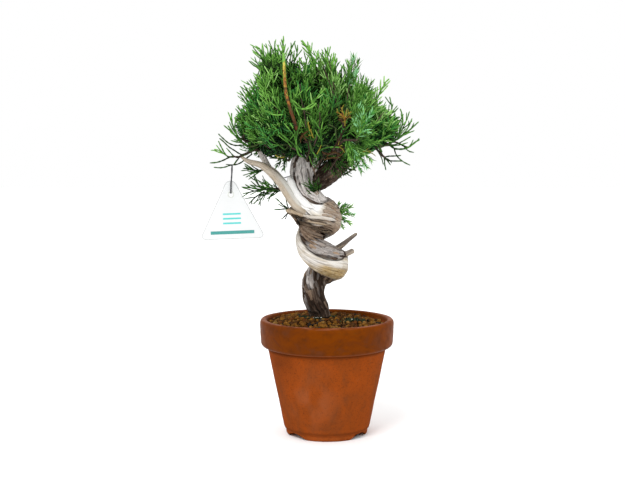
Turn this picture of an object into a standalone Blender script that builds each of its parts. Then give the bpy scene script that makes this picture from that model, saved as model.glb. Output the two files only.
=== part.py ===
"""Potted juniper bonsai: a clay pot, its soil, a corkscrew trunk with dead wood,
boughs, foliage masses and a blank swing tag.  Metres, +Z up, front of the plant
towards -Y.  Sizes below are in millimetres from the pot's axis and its foot.
"""
import math

import bmesh
import bpy
import numpy as np
from mathutils import Vector, noise
from mathutils.bvhtree import BVHTree

MM = 0.001
GAP = 0.35                       # clearance between neighbouring solids

# ---------------------------------------------------------------- the pot
POT_HEIGHT = 96.0
RIM_RADIUS = 55.0                # widest, just under the lip
RIM_BAND_HEIGHT = 20.5
RIM_BAND_FOOT_RADIUS = 53.6
LIP_ROUND = 5.0
BODY_TOP_RADIUS = 49.3           # where the wall comes out from under the band
BODY_LOW_RADIUS = 36.0           # just above the rounded foot
BODY_LOW_HEIGHT = 7.5
FOOT_RADIUS = 33.8
FOOT_RING_WIDTH = 6.0
FOOT_RECESS = 3.0
FLOOR_HEIGHT = 7.0
INNER_TOP_RADIUS = 49.0
INNER_LOW_RADIUS = 30.0
DRAIN_RADIUS = 6.0
NOTCH_RADIUS = 19.4              # three low, wide arches cut through the foot ring
NOTCH_AXIS_DROP = 15.4
NOTCH_BEARINGS = (-141.0, -36.0, 88.0)
POT_SIDES = 32

# ---------------------------------------------------------------- the soil
SOIL_CROWN = 96.1                # level round the trunk
SOIL_FALL = 6.0                  # how much lower it lies at the far rim
SOIL_SIDES = 28

# ---------------------------------------------------------------- the trunk
GROUND = 96.5                    # height of the flat cut
TRUNK_SIDES = 12
# rows: across, back, up, radius
LOWER_STEM = (
    (-5.8, 7.0, GROUND, 10.3),
    (-7.4, 5.4, 103.0, 9.6),
    (-11.2, 1.6, 114.0, 8.9),
    (-10.8, 5.6, 125.6, 8.5),
    (-4.6, 11.2, 133.4, 8.7),
)
COIL_RADIUS = 11.0
COIL_AXIS_START = -3.4
COIL_AXIS_END = -8.8
# at each quarter turn, from the first nose on the right: height and thickness
COIL_HEIGHT = (139.8, 147.6, 161.0, 171.0, 177.8, 187.8)
COIL_THICK = (9.7, 10.3, 9.9, 9.4, 8.8, 10.0)
COIL_STATIONS = 3                # rows of the line for each quarter turn
UPPER_STEM = (
    (-16.6, -7.6, 198.4, 9.4),
    (-19.4, -4.0, 209.0, 9.9),
    (-19.0, -0.4, 219.0, 10.5),
    (-17.4, 1.6, 228.6, 9.9),
    (-16.6, 2.0, 236.0, 7.4),
)
BAND_STRETCH = 0.28              # the lying turns are deeper than they are thick
ROOT_FLARE = 2.2
ROOT_FLARE_HEIGHT = 7.0
ROOTS = 4

# ---------------------------------------------------------------- the limbs
# name: (rows of across, back, up, radius), sides, what it grows from
LIMBS = {
    "dead_branch": (((-17.0, -11.5, 187.0, 4.6), (-24.4, -13.4, 190.8, 4.4), (-29.8, -13.0, 197.4, 4.2),
                     (-36.2, -12.0, 207.0, 4.2), (-44.0, -10.0, 216.0, 4.0), (-53.0, -7.5, 222.6, 2.8),
                     (-62.4, -5.0, 225.4, 2.1), (-67.0, -3.6, 227.4, 1.5), (-70.6, -2.4, 230.2, 0.9)),
                    8, ("trunk",)),
    "dead_spur": (((-19.0, -9.0, 187.5, 4.6), (-26.0, -7.6, 186.6, 3.4), (-34.2, -6.0, 185.6, 0.8)),
                  8, ("trunk", "dead_branch")),
    "upper_stub": (((5.0, -0.6, 152.0, 2.6), (11.0, -1.0, 156.0, 2.1), (17.6, -2.4, 161.4, 1.8),
                    (24.6, -4.0, 166.9, 1.1)), 8, ("trunk",)),
    "lower_stub": (((8.0, -3.2, 145.4, 2.8), (14.4, -3.6, 149.2, 2.4), (21.8, -5.0, 152.8, 2.1)),
                   8, ("trunk", "upper_stub")),
    "left_bough": (((-37.0, -6.0, 207.6, 2.2), (-44.6, -1.0, 216.4, 2.3), (-49.0, 2.4, 222.6, 2.3),
                    (-53.6, 4.0, 231.0, 2.0), (-57.0, 3.6, 236.0, 1.8)), 8, ("dead_branch",)),
    "right_bough": (((-10.6, 3.4, 207.0, 5.6), (-2.4, 5.4, 213.0, 7.3), (6.6, 5.4, 220.4, 7.3),
                     (14.4, 3.6, 228.0, 6.0), (19.6, 2.0, 236.6, 4.4)), 12, ("trunk",)),
    "right_tip_bough": (((18.0, 1.6, 233.4, 3.2), (26.0, 0.0, 238.4, 2.8), (36.0, -1.0, 243.4, 2.2)),
                        8, ("right_bough",)),
    "right_top_bough": (((19.2, 2.0, 235.2, 3.0), (22.2, 2.2, 243.0, 2.6), (25.4, 1.4, 251.0, 2.2)),
                        8, ("right_bough", "right_tip_bough")),
    "centre_bough": (((-16.6, 2.0, 233.0, 5.4), (-14.2, 1.6, 243.0, 4.2), (-11.4, 1.0, 254.0, 3.2)),
                     8, ("trunk",)),
    "leader_bough": (((-18.6, -3.0, 232.0, 3.6), (-21.6, -5.0, 241.0, 3.0), (-25.4, -4.4, 252.0, 2.6),
                      (-29.4, -3.6, 262.0, 2.2)), 8, ("trunk", "centre_bough")),
    "left_top_bough": (((-21.0, 1.0, 229.0, 3.6), (-30.0, 0.4, 236.0, 2.9), (-39.4, -0.4, 243.4, 2.2)),
                       8, ("trunk", "leader_bough", "centre_bough")),
    "front_bough": (((-15.6, -3.0, 230.0, 3.6), (-12.4, -9.0, 234.4, 2.8), (-9.6, -15.0, 238.6, 2.1)),
                    8, ("trunk", "leader_bough", "centre_bough", "left_top_bough")),
    "back_left_bough": (((-19.6, 6.0, 227.0, 3.6), (-25.6, 14.0, 233.0, 2.9), (-31.6, 21.0, 240.0, 2.2)),
                        8, ("trunk", "left_top_bough", "centre_bough")),
    "back_bough": (((-14.6, 6.0, 229.0, 3.6), (-11.4, 15.0, 236.0, 3.0), (-8.6, 24.0, 243.0, 2.3)),
                   8, ("trunk", "back_left_bough", "centre_bough")),
    "back_right_bough": (((8.0, 7.6, 220.0, 3.6), (14.0, 14.6, 228.6, 2.9), (20.0, 21.4, 238.0, 2.2)),
                         8, ("right_bough", "back_bough")),
}

# ---------------------------------------------------------------- the foliage
# name: (centre), (half-sizes), seed, tips that the shoots reach, limbs cut out
CROWN = {
    "mass_left_top": ((-45.0, -3.0, 288.0), (25.0, 29.0, 31.0), 3,
                      ((-48.5, -4.0, 322.5), (-55.0, -6.0, 318.5), (-68.0, -3.0, 297.0), (-60.5, 5.0, 309.5))),
    "mass_top": ((-24.0, 0.0, 291.0), (22.0, 27.0, 31.0), 8,
                 ((-36.0, -2.0, 328.0), (-24.6, 3.0, 325.0), (-15.7, -2.0, 323.0))),
    "mass_top_right": ((3.0, 1.0, 284.0), (22.0, 27.0, 29.0), 14,
                       ((5.6, 0.0, 316.0), (13.8, 2.0, 311.0), (-6.0, -3.0, 312.0), (22.5, 0.0, 311.5))),
    "mass_right_top": ((32.0, -1.0, 273.0), (20.0, 27.0, 27.0), 21,
                       ((49.8, -2.0, 294.0), (36.0, 3.0, 297.5))),
    "mass_right": ((55.0, -2.0, 250.0), (18.0, 25.0, 22.0), 26,
                   ((73.9, -3.0, 243.5), (76.2, -2.0, 238.8), (70.0, 3.0, 256.5))),
    "mass_left": ((-62.0, -1.0, 253.0), (20.0, 27.0, 25.0), 33,
                  ((-81.5, -5.0, 268.0), (-88.0, -4.0, 246.0), (-83.0, 2.0, 257.0))),
    "mass_front_left": ((-38.0, -30.0, 254.0), (27.0, 23.0, 27.0), 39, ((-40.0, -55.0, 262.0),)),
    "mass_front_right": ((8.0, -29.0, 250.0), (29.0, 22.0, 26.0), 44, ((12.0, -54.0, 255.0),)),
    "mass_back_left": ((-42.0, 32.0, 260.0), (30.0, 27.0, 35.0), 51, ((-50.0, 60.0, 268.0), (-72.0, 36.0, 262.0))),
    "mass_back": ((-6.0, 38.0, 264.0), (27.0, 26.0, 38.0), 57, ((-8.0, 66.0, 272.0), (-4.0, 44.0, 305.0))),
    "mass_back_right": ((31.0, 31.0, 256.0), (27.0, 27.0, 31.0), 62, ((36.0, 58.0, 262.0), (58.0, 34.0, 262.0))),
}
SPRAYS = {
    "spray_left_tip": ((-79.0, -9.0, 231.0), (17.0, 10.0, 7.0), 71,
                       ((-98.2, -11.0, 225.4), (-95.0, -8.0, 221.8), (-94.0, -6.0, 235.0), (-90.5, -13.0, 241.5))),
    "spray_left_small": ((-58.0, 6.0, 221.0), (9.0, 7.0, 5.0), 76, ((-69.0, 7.0, 217.5),)),
    "spray_left_low": ((-52.0, 3.0, 202.5), (14.0, 8.0, 7.0), 81,
                       ((-70.0, 3.0, 202.0), (-65.0, 2.0, 193.5), (-61.0, 5.0, 215.5), (-56.0, 4.0, 192.5))),
    "spray_right_low": ((52.0, -6.0, 221.0), (12.0, 9.0, 10.0), 86,
                        ((64.5, -8.0, 209.5), (47.5, -7.0, 206.5), (70.5, -4.0, 228.0))),
    "spray_right_hanging": ((30.0, -9.0, 217.0), (9.0, 8.0, 9.0), 91, ((37.0, -10.0, 207.5),)),
    "spray_trunk_back": ((15.0, 13.0, 180.5), (9.5, 8.0, 10.0), 96, ((24.0, 14.0, 184.0), (21.0, 13.0, 172.0))),
    "spray_knot": ((-10.0, 9.0, 200.0), (6.5, 5.0, 5.0), 101, ()),
}
LUMP = 0.20                      # how uneven a mass is
FOLIAGE_GAP = 0.5

# ---------------------------------------------------------------- the tag
TAG_WIDTH = 54.8
TAG_HEIGHT = 50.6
TAG_THICK = 0.9
TAG_CORNER = 3.2
TAG_TOP_CORNER = 5.2
TAG_PLACE = (-77.4, -6.0, 162.4)  # middle of the tag's lower edge
TAG_TILT = 2.2                   # degrees, right side up
TAG_HOLE_HEIGHT = 36.6
TAG_HOLE_RADIUS = 1.7
TIE_RADIUS = 0.45
TIE_TOP = 223.0

# bounding box centre of the whole plant, put over the origin
SHIFT_ACROSS = 13.3
SHIFT_BACK = -4.4


# ================================================================ helpers
def clear_scene():
    for ob in list(bpy.data.objects):
        bpy.data.objects.remove(ob, do_unlink=True)
    for me in list(bpy.data.meshes):
        bpy.data.meshes.remove(me)


def material(name, rgb, rough):
    mat = bpy.data.materials.new(name)
    mat.use_nodes = True
    bsdf = mat.node_tree.nodes["Principled BSDF"]
    bsdf.inputs["Base Color"].default_value = (*rgb, 1.0)
    bsdf.inputs["Roughness"].default_value = rough
    bsdf.inputs["Metallic"].default_value = 0.0
    return mat


def mesh_object(name, verts_mm, faces, mat, smooth=True, sharp=40.0):
    """A mesh from points in millimetres, its faces turned outwards."""
    me = bpy.data.meshes.new(name)
    me.from_pydata([tuple(float(c) * MM for c in v) for v in verts_mm], [], faces)
    bm = bmesh.new()
    bm.from_mesh(me)
    bmesh.ops.recalc_face_normals(bm, faces=bm.faces)
    bm.to_mesh(me)
    bm.free()
    if smooth:
        me.shade_smooth()
        me.set_sharp_from_angle(angle=math.radians(sharp))
    if mat is not None:
        me.materials.append(mat)
    ob = bpy.data.objects.new(name, me)
    bpy.context.scene.collection.objects.link(ob)
    return ob


def hide_cutter(ob):
    ob.hide_render = True
    ob.display_type = "WIRE"
    return ob


def cut(ob, cutter):
    mod = ob.modifiers.new("cut_" + cutter.name, "BOOLEAN")
    mod.operation = "DIFFERENCE"
    mod.solver = "EXACT"
    mod.object = cutter


def spline(rows, steps):
    """Centripetal-like smooth curve through rows of numbers, steps per span."""
    rows = np.asarray(rows, float)
    ext = np.vstack([2 * rows[0] - rows[1], rows, 2 * rows[-1] - rows[-2]])
    out = []
    for i in range(1, len(ext) - 2):
        p0, p1, p2, p3 = ext[i - 1], ext[i], ext[i + 1], ext[i + 2]
        for k in range(steps):
            t = k / steps
            out.append(0.5 * (2 * p1 + (p2 - p0) * t + (2 * p0 - 5 * p1 + 4 * p2 - p3) * t ** 2
                              + (3 * p1 - p0 - 3 * p2 + p3) * t ** 3))
    out.append(rows[-1])
    return np.array(out)


def sweep(rows, sides, swell=0.0, stretch=0.0, flare=None, lengthen=0.0, flat_start=False):
    """A tapering limb: rings carried along the rows without twist, both ends capped."""
    rows = np.array(rows, float)
    pts, radii = rows[:, :3].copy(), rows[:, 3] + swell
    if lengthen:
        end = pts[-1] - pts[-2]
        pts[-1] += end / np.linalg.norm(end) * lengthen
    tang = np.gradient(pts, axis=0)
    tang /= np.linalg.norm(tang, axis=1)[:, None]
    if flat_start:                                         # level cut, easing into the lean
        for i in range(4):
            tang[i] = tang[i] * i / 4 + np.array((0.0, 0.0, 1.0 - i / 4))
            tang[i] /= np.linalg.norm(tang[i])
    ref = np.cross(tang[0], (0.0, 1.0, 0.2))
    ref /= np.linalg.norm(ref)
    verts, faces = [], []
    for i, (p, r, t) in enumerate(zip(pts, radii, tang)):
        ref = ref - t * ref.dot(t)
        ref /= np.linalg.norm(ref)
        side = np.cross(t, ref)
        for k in range(sides):
            a = 2 * math.pi * k / sides
            d = math.cos(a) * ref + math.sin(a) * side
            rr = r * (1 + stretch * d[2] * d[2])
            if flare is not None:
                rr += flare(p[2], a)
            verts.append(p + d * rr)
    n = len(pts)
    for i in range(n - 1):
        for k in range(sides):
            a, b = i * sides + k, i * sides + (k + 1) % sides
            faces.append((a, b, b + sides, a + sides))
    faces.append(tuple(range(sides))[::-1])
    faces.append(tuple((n - 1) * sides + k for k in range(sides)))
    return verts, faces


# ================================================================ the pot
def pot_profile():
    """Outer line from the foot up, over the lip and down the inside."""
    line = [(FOOT_RADIUS - FOOT_RING_WIDTH, 0.0), (FOOT_RADIUS - 1.0, 0.0), (FOOT_RADIUS, 1.0),
            (FOOT_RADIUS + 0.2, 3.8), (BODY_LOW_RADIUS - 0.7, 5.4), (BODY_LOW_RADIUS, BODY_LOW_HEIGHT)]
    band_low = POT_HEIGHT - RIM_BAND_HEIGHT
    line.append((BODY_TOP_RADIUS, band_low - 3.2))
    line += [(BODY_TOP_RADIUS + 2.0, band_low - 2.6), (RIM_BAND_FOOT_RADIUS - 0.7, band_low - 0.6),
             (RIM_BAND_FOOT_RADIUS, band_low + 1.2)]
    for k in range(5):                                     # the rounded lip
        a = math.pi / 2 * k / 4
        line.append((RIM_RADIUS - LIP_ROUND * 0.55 * (1 - math.cos(a)),
                     POT_HEIGHT - LIP_ROUND * (1 - math.sin(a))))
    line += [(INNER_TOP_RADIUS + 0.8, POT_HEIGHT - 0.5), (INNER_TOP_RADIUS, POT_HEIGHT - 2.2),
             (INNER_LOW_RADIUS + 1.8, FLOOR_HEIGHT + 3.0), (INNER_LOW_RADIUS - 2.0, FLOOR_HEIGHT),
             (DRAIN_RADIUS, FLOOR_HEIGHT), (DRAIN_RADIUS, FOOT_RECESS),
             (FOOT_RADIUS - FOOT_RING_WIDTH - 1.0, FOOT_RECESS)]
    return line


def turned(line, sides):
    verts, faces = [], []
    for r, z in line:
        for k in range(sides):
            a = 2 * math.pi * k / sides
            verts.append((r * math.cos(a), r * math.sin(a), z))
    n = len(line)
    for i in range(n):
        j = (i + 1) % n
        for k in range(sides):
            m = (k + 1) % sides
            faces.append((i * sides + k, i * sides + m, j * sides + m, j * sides + k))
    return verts, faces


def build_pot(mat):
    pot = mesh_object("pot", *turned(pot_profile(), POT_SIDES), mat, sharp=35)
    for n, bearing in enumerate(NOTCH_BEARINGS):
        a = math.radians(bearing)
        out = np.array((math.cos(a), math.sin(a), 0.0))
        across = np.array((-math.sin(a), math.cos(a), 0.0))
        verts, faces, sides = [], [], 36
        for dist in (FOOT_RADIUS - FOOT_RING_WIDTH - 4.0, FOOT_RADIUS + 6.0):
            for k in range(sides):
                b = 2 * math.pi * (k + 0.5) / sides
                verts.append(out * dist + across * NOTCH_RADIUS * math.cos(b)
                             + np.array((0, 0, NOTCH_RADIUS * math.sin(b) - NOTCH_AXIS_DROP)))
        for k in range(sides):
            m = (k + 1) % sides
            faces.append((k, m, sides + m, sides + k))
        faces += [tuple(range(sides))[::-1], tuple(sides + k for k in range(sides))]
        cutter = hide_cutter(mesh_object(f"notch_cutter_{n + 1}", verts, faces, None, smooth=False))
        cut(pot, cutter)
    return pot


def soil_height(x, y):
    d = math.hypot(x - LOWER_STEM[0][0], y - LOWER_STEM[0][1])
    fall = max(0.0, d - 19.0) / 36.0
    grain = 0.0 if d < 19.0 else 0.7 * noise.noise(Vector((x * 0.13, y * 0.13, 4.0)))
    return SOIL_CROWN - SOIL_FALL * fall ** 1.2 - abs(grain)


def build_soil(mat):
    rings = (12.0, 22.0, 31.0, 40.0)
    slope = (INNER_TOP_RADIUS - INNER_LOW_RADIUS - 1.8) / (POT_HEIGHT - 2.2 - FLOOR_HEIGHT - 3.0)

    def wall(z):
        return INNER_TOP_RADIUS - (POT_HEIGHT - 2.2 - z) * slope - GAP - 0.25

    verts, faces, n = [(0.0, 0.0, soil_height(0, 0))], [], SOIL_SIDES
    for r in rings:
        for k in range(n):
            a = 2 * math.pi * k / n
            x, y = r * math.cos(a), r * math.sin(a)
            verts.append((x, y, soil_height(x, y)))
    for k in range(n):                                     # the soil's edge at the wall
        a = 2 * math.pi * k / n
        z = soil_height(46.0 * math.cos(a), 46.0 * math.sin(a))
        r = wall(z)
        verts.append((r * math.cos(a), r * math.sin(a), z))
    for r, z in ((wall(FLOOR_HEIGHT + 4.0), FLOOR_HEIGHT + 4.0), (INNER_LOW_RADIUS - 2.6, FLOOR_HEIGHT + GAP)):
        for k in range(n):
            a = 2 * math.pi * k / n
            verts.append((r * math.cos(a), r * math.sin(a), z))
    for k in range(n):
        faces.append((0, 1 + k, 1 + (k + 1) % n))
    for i in range(len(rings) + 2):
        for k in range(n):
            a, b = 1 + i * n + k, 1 + i * n + (k + 1) % n
            faces.append((a, a + n, b + n, b))
    last = 1 + (len(rings) + 2) * n
    faces.append(tuple(last + k for k in range(n)))
    return mesh_object("soil", verts, faces, mat)


# ================================================================ the trunk
def trunk_rows():
    rows = list(LOWER_STEM)
    quarters = len(COIL_HEIGHT) - 1
    sizes = spline(list(zip(COIL_HEIGHT, COIL_THICK)), COIL_STATIONS)
    for i, (height, thick) in enumerate(sizes):
        turn = i / COIL_STATIONS / 4
        a = -2 * math.pi * turn                            # clockwise seen from above
        axis = COIL_AXIS_START + (COIL_AXIS_END - COIL_AXIS_START) * turn * 4 / quarters
        rows.append((axis + COIL_RADIUS * math.cos(a), COIL_RADIUS * math.sin(a) * 1.04, height, thick))
    return rows + list(UPPER_STEM)


def root_flare(z, a):
    t = max(0.0, 1 - (z - GROUND) / ROOT_FLARE_HEIGHT)
    return ROOT_FLARE * t ** 1.6 * (0.45 + 0.55 * math.cos(ROOTS * a + 0.6))


def trunk_mesh(swell=0.0):
    line = spline(trunk_rows(), 2)
    return sweep(line, TRUNK_SIDES, swell=swell, stretch=BAND_STRETCH, flare=root_flare, flat_start=True)


def build_trunk(mat):
    trunk = mesh_object("trunk", *trunk_mesh(), mat, sharp=50)
    cutter = hide_cutter(mesh_object("trunk_cutter", *trunk_mesh(GAP), None, smooth=False))
    return trunk, cutter


def build_limbs(bark, dead, trunk_cutter):
    limbs, cutters = {}, {"trunk": trunk_cutter}
    for name, (rows, sides, roots) in LIMBS.items():
        line = spline(rows, 2)
        mat = dead if name.startswith("dead") else bark
        limb = mesh_object(name, *sweep(line, sides), mat, sharp=50)
        for root in roots:
            cut(limb, cutters[root])
        limbs[name] = limb
        cutters[name] = hide_cutter(mesh_object(
            name + "_cutter", *sweep(line, sides, swell=GAP, lengthen=GAP), None, smooth=False))
    return limbs, cutters


# ================================================================ the foliage
def blob_reach(direction, half):
    return 1.0 / math.sqrt(sum((d / h) ** 2 for d, h in zip(direction, half)))


def build_masses(mat, cutters):
    everything = {**CROWN, **SPRAYS}
    planes = {name: [] for name in everything}
    names = list(everything)
    for i, a in enumerate(names):
        for b in names[i + 1:]:
            ca, cb = np.array(everything[a][0]), np.array(everything[b][0])
            gap = cb - ca
            dist = float(np.linalg.norm(gap))
            u = gap / dist
            ra, rb = blob_reach(u, everything[a][1]), blob_reach(u, everything[b][1])
            if dist > (ra + rb) * 2.0:
                continue
            at = dist * ra / (ra + rb)
            planes[a].append((u, at - FOLIAGE_GAP / 2))
            planes[b].append((-u, dist - at - FOLIAGE_GAP / 2))
    trees = {n: (BVHTree.FromObject(c, bpy.context.evaluated_depsgraph_get()), c) for n, c in cutters.items()}
    masses = {}
    for name, (centre, half, seed, tips) in everything.items():
        centre = np.array(centre)
        bm = bmesh.new()
        bmesh.ops.create_icosphere(bm, subdivisions=3 if name in CROWN else 2, radius=1.0)
        reach = []
        for v in bm.verts:
            d = np.array(v.co.normalized())
            lump = (LUMP * noise.noise(Vector(d * 1.7) + Vector((seed, 0, 0)))
                    + LUMP * 0.55 * noise.noise(Vector(d * 4.1) + Vector((0, seed, 0))))
            r = blob_reach(d, half) * (1.0 + lump)
            for u, at in planes[name]:
                c = float(d.dot(u))
                if c > 1e-6:
                    r = min(r, at / c)
            reach.append((d, r))
        for tip in tips:                                   # shoots that stand out of the mass
            way = np.array(tip) - centre
            far = float(np.linalg.norm(way))
            for u, at in planes[name]:
                c = float(way.dot(u)) / far
                if c > 1e-6:
                    far = min(far, at / c)
            way /= np.linalg.norm(way)
            best = max(range(len(reach)), key=lambda i: float(reach[i][0].dot(way)))
            reach[best] = (way, far)
        for v, (d, r) in zip(bm.verts, reach):
            v.co = Vector((centre + d * r) * MM)
        me = bpy.data.meshes.new(name)
        bmesh.ops.recalc_face_normals(bm, faces=bm.faces)
        bm.to_mesh(me)
        tree = BVHTree.FromBMesh(bm)
        bm.free()
        me.shade_smooth()
        me.materials.append(mat)
        ob = bpy.data.objects.new(name, me)
        bpy.context.scene.collection.objects.link(ob)
        for limb, (other, cutter) in trees.items():
            if tree.overlap(other):
                cut(ob, cutter)
        masses[name] = ob
    return masses


# ================================================================ the tag
def tag_outline():
    """Triangle with rounded corners in its own plane, its lower edge on zero."""
    corners = ((-TAG_WIDTH / 2, 0.0, TAG_CORNER), (TAG_WIDTH / 2, 0.0, TAG_CORNER), (0.0, TAG_HEIGHT + 3.6, TAG_TOP_CORNER))
    line = []
    for i, (x, y, r) in enumerate(corners):
        here = np.array((x, y))
        before = np.array(corners[i - 1][:2]) - here
        after = np.array(corners[(i + 1) % 3][:2]) - here
        before /= np.linalg.norm(before)
        after /= np.linalg.norm(after)
        half = math.acos(float(before.dot(after))) / 2
        mid = here + (before + after) / np.linalg.norm(before + after) * r / math.sin(half)
        start = here + before * r / math.tan(half) - mid
        sweep_angle = math.pi - 2 * half
        a0 = math.atan2(start[1], start[0])
        for k in range(6):
            a = a0 + sweep_angle * k / 5
            line.append(mid + r * np.array((math.cos(a), math.sin(a))))
    return line


def place_tag(x, depth, y):
    t = math.radians(TAG_TILT)
    return (TAG_PLACE[0] + x * math.cos(t) - y * math.sin(t), TAG_PLACE[1] + depth,
            TAG_PLACE[2] + x * math.sin(t) + y * math.cos(t))


def build_tag(mat):
    line = tag_outline()
    n = len(line)
    hole = []
    for p in line:                                         # one hole point for each outline point
        way = np.array((p[0], p[1] - TAG_HOLE_HEIGHT))
        hole.append(np.array((0.0, TAG_HOLE_HEIGHT)) + way / np.linalg.norm(way) * TAG_HOLE_RADIUS)
    verts, faces = [], []
    for depth in (-TAG_THICK / 2, TAG_THICK / 2):
        verts += [place_tag(p[0], depth, p[1]) for p in line]
        verts += [place_tag(p[0], depth, p[1]) for p in hole]
    for k in range(n):
        m = (k + 1) % n
        faces.append((k, m, n + m, n + k))
        faces.append((2 * n + k, 3 * n + k, 3 * n + m, 2 * n + m))
        faces.append((k, 2 * n + k, 2 * n + m, m))
        faces.append((n + k, n + m, 3 * n + m, 3 * n + k))
    return mesh_object("hang_tag", verts, faces, mat, sharp=30)


def build_tie(mat):
    """A thin loop that goes through the tag's hole and up to the shoots."""
    x, _, low = place_tag(0.0, 0.0, TAG_HOLE_HEIGHT + TAG_HOLE_RADIUS - TIE_RADIUS - 0.35)
    y, wide, path = TAG_PLACE[1], 1.5, []
    for k in range(7):
        a = math.pi + math.pi * k / 6
        path.append((x, y + wide * math.cos(a), low + wide * math.sin(a) + wide))
    for k in range(7):
        a = math.pi * k / 6
        path.append((x + 1.1, y + wide * math.cos(a), TIE_TOP + wide * math.sin(a) - wide))
    path = np.array(path)
    n, sides = len(path), 6
    verts, faces = [], []
    for i in range(n):
        t = path[(i + 1) % n] - path[i - 1]
        t /= np.linalg.norm(t)
        u = np.array((1.0, 0.0, 0.0))
        u = u - t * u.dot(t)
        u /= np.linalg.norm(u)
        v = np.cross(t, u)
        for k in range(sides):
            a = 2 * math.pi * k / sides
            verts.append(path[i] + TIE_RADIUS * (math.cos(a) * u + math.sin(a) * v))
    for i in range(n):
        j = (i + 1) % n
        for k in range(sides):
            m = (k + 1) % sides
            faces.append((i * sides + k, i * sides + m, j * sides + m, j * sides + k))
    return mesh_object("tag_tie", verts, faces, mat)


# ================================================================ assembly
def main():
    clear_scene()
    clay = material("clay", (0.32, 0.085, 0.018), 0.7)
    earth = material("earth", (0.10, 0.045, 0.014), 0.95)
    bark = material("bark", (0.11, 0.075, 0.055), 0.85)
    dead = material("dead_wood", (0.52, 0.40, 0.27), 0.6)
    green = material("foliage", (0.06, 0.16, 0.03), 0.55)
    plastic = material("tag_plastic", (0.88, 0.89, 0.89), 0.35)
    wire = material("tie_wire", (0.04, 0.04, 0.045), 0.5)

    build_pot(clay)
    build_soil(earth)
    _, trunk_cutter = build_trunk(bark)
    _, cutters = build_limbs(bark, dead, trunk_cutter)
    build_masses(green, cutters)
    build_tag(plastic)
    build_tie(wire)

    stand = bpy.data.objects.new("plant_stand_point", None)
    bpy.context.scene.collection.objects.link(stand)
    for ob in list(bpy.context.scene.collection.objects):
        if ob.type == "MESH":
            ob.parent = stand
    stand.location = (SHIFT_ACROSS * MM, SHIFT_BACK * MM, 0.0)


main()
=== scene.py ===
"""Looks of the potted juniper bonsai: glazed clay pot, granular soil, corkscrew trunk
with bark and bare wood, boughs, twigs, scale-leaf shoots and needle tufts, blank tag.
Sizes are in millimetres from the pot's axis and its foot; the front is towards -Y.
"""
import math

import bmesh
import bpy
import numpy as np
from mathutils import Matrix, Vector


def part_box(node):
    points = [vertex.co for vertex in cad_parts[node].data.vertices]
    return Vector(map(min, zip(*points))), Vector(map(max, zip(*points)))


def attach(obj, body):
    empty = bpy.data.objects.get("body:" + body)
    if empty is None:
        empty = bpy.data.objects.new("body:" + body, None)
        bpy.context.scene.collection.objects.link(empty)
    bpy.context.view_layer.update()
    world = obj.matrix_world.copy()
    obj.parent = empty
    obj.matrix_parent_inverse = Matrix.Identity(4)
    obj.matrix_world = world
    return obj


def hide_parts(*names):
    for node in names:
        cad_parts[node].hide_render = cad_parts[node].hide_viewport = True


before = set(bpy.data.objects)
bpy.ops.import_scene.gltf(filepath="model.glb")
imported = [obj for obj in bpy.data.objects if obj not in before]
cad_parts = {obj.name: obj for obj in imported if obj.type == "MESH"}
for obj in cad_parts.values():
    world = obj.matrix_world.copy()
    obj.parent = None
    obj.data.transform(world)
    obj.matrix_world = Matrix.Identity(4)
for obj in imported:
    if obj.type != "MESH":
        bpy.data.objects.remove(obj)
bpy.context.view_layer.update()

MM = 0.001
pot_low, pot_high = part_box("pot")
AXIS = np.array(((pot_low.x + pot_high.x) / 2, (pot_low.y + pot_high.y) / 2, 0.0)) / MM
TAU = 2 * math.pi


# ================================================================ numbers shared with the solids
POT_HEIGHT = 96.0
FOOT_RADIUS = 33.8
NOTCH_RADIUS = 19.4
NOTCH_AXIS_DROP = 15.4
NOTCH_BEARINGS = (-141.0, -36.0, 88.0)
SOIL_CROWN = 96.1
SOIL_FALL = 6.0
GROUND = 96.5
LOWER_STEM = ((-5.8, 7.0, GROUND, 10.3), (-7.4, 5.4, 103.0, 9.6), (-11.2, 1.6, 114.0, 8.9),
              (-10.8, 5.6, 125.6, 8.5), (-4.6, 11.2, 133.4, 8.7))
COIL_RADIUS = 11.0
COIL_AXIS_START, COIL_AXIS_END = -3.4, -8.8
COIL_HEIGHT = (139.8, 147.6, 161.0, 171.0, 177.8, 187.8)
COIL_THICK = (9.7, 10.3, 9.9, 9.4, 8.8, 10.0)
UPPER_STEM = ((-16.6, -7.6, 198.4, 9.4), (-19.4, -4.0, 209.0, 9.9), (-19.0, -0.4, 219.0, 10.5),
              (-17.4, 1.6, 228.6, 9.9), (-16.6, 2.0, 236.0, 7.4))
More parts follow.
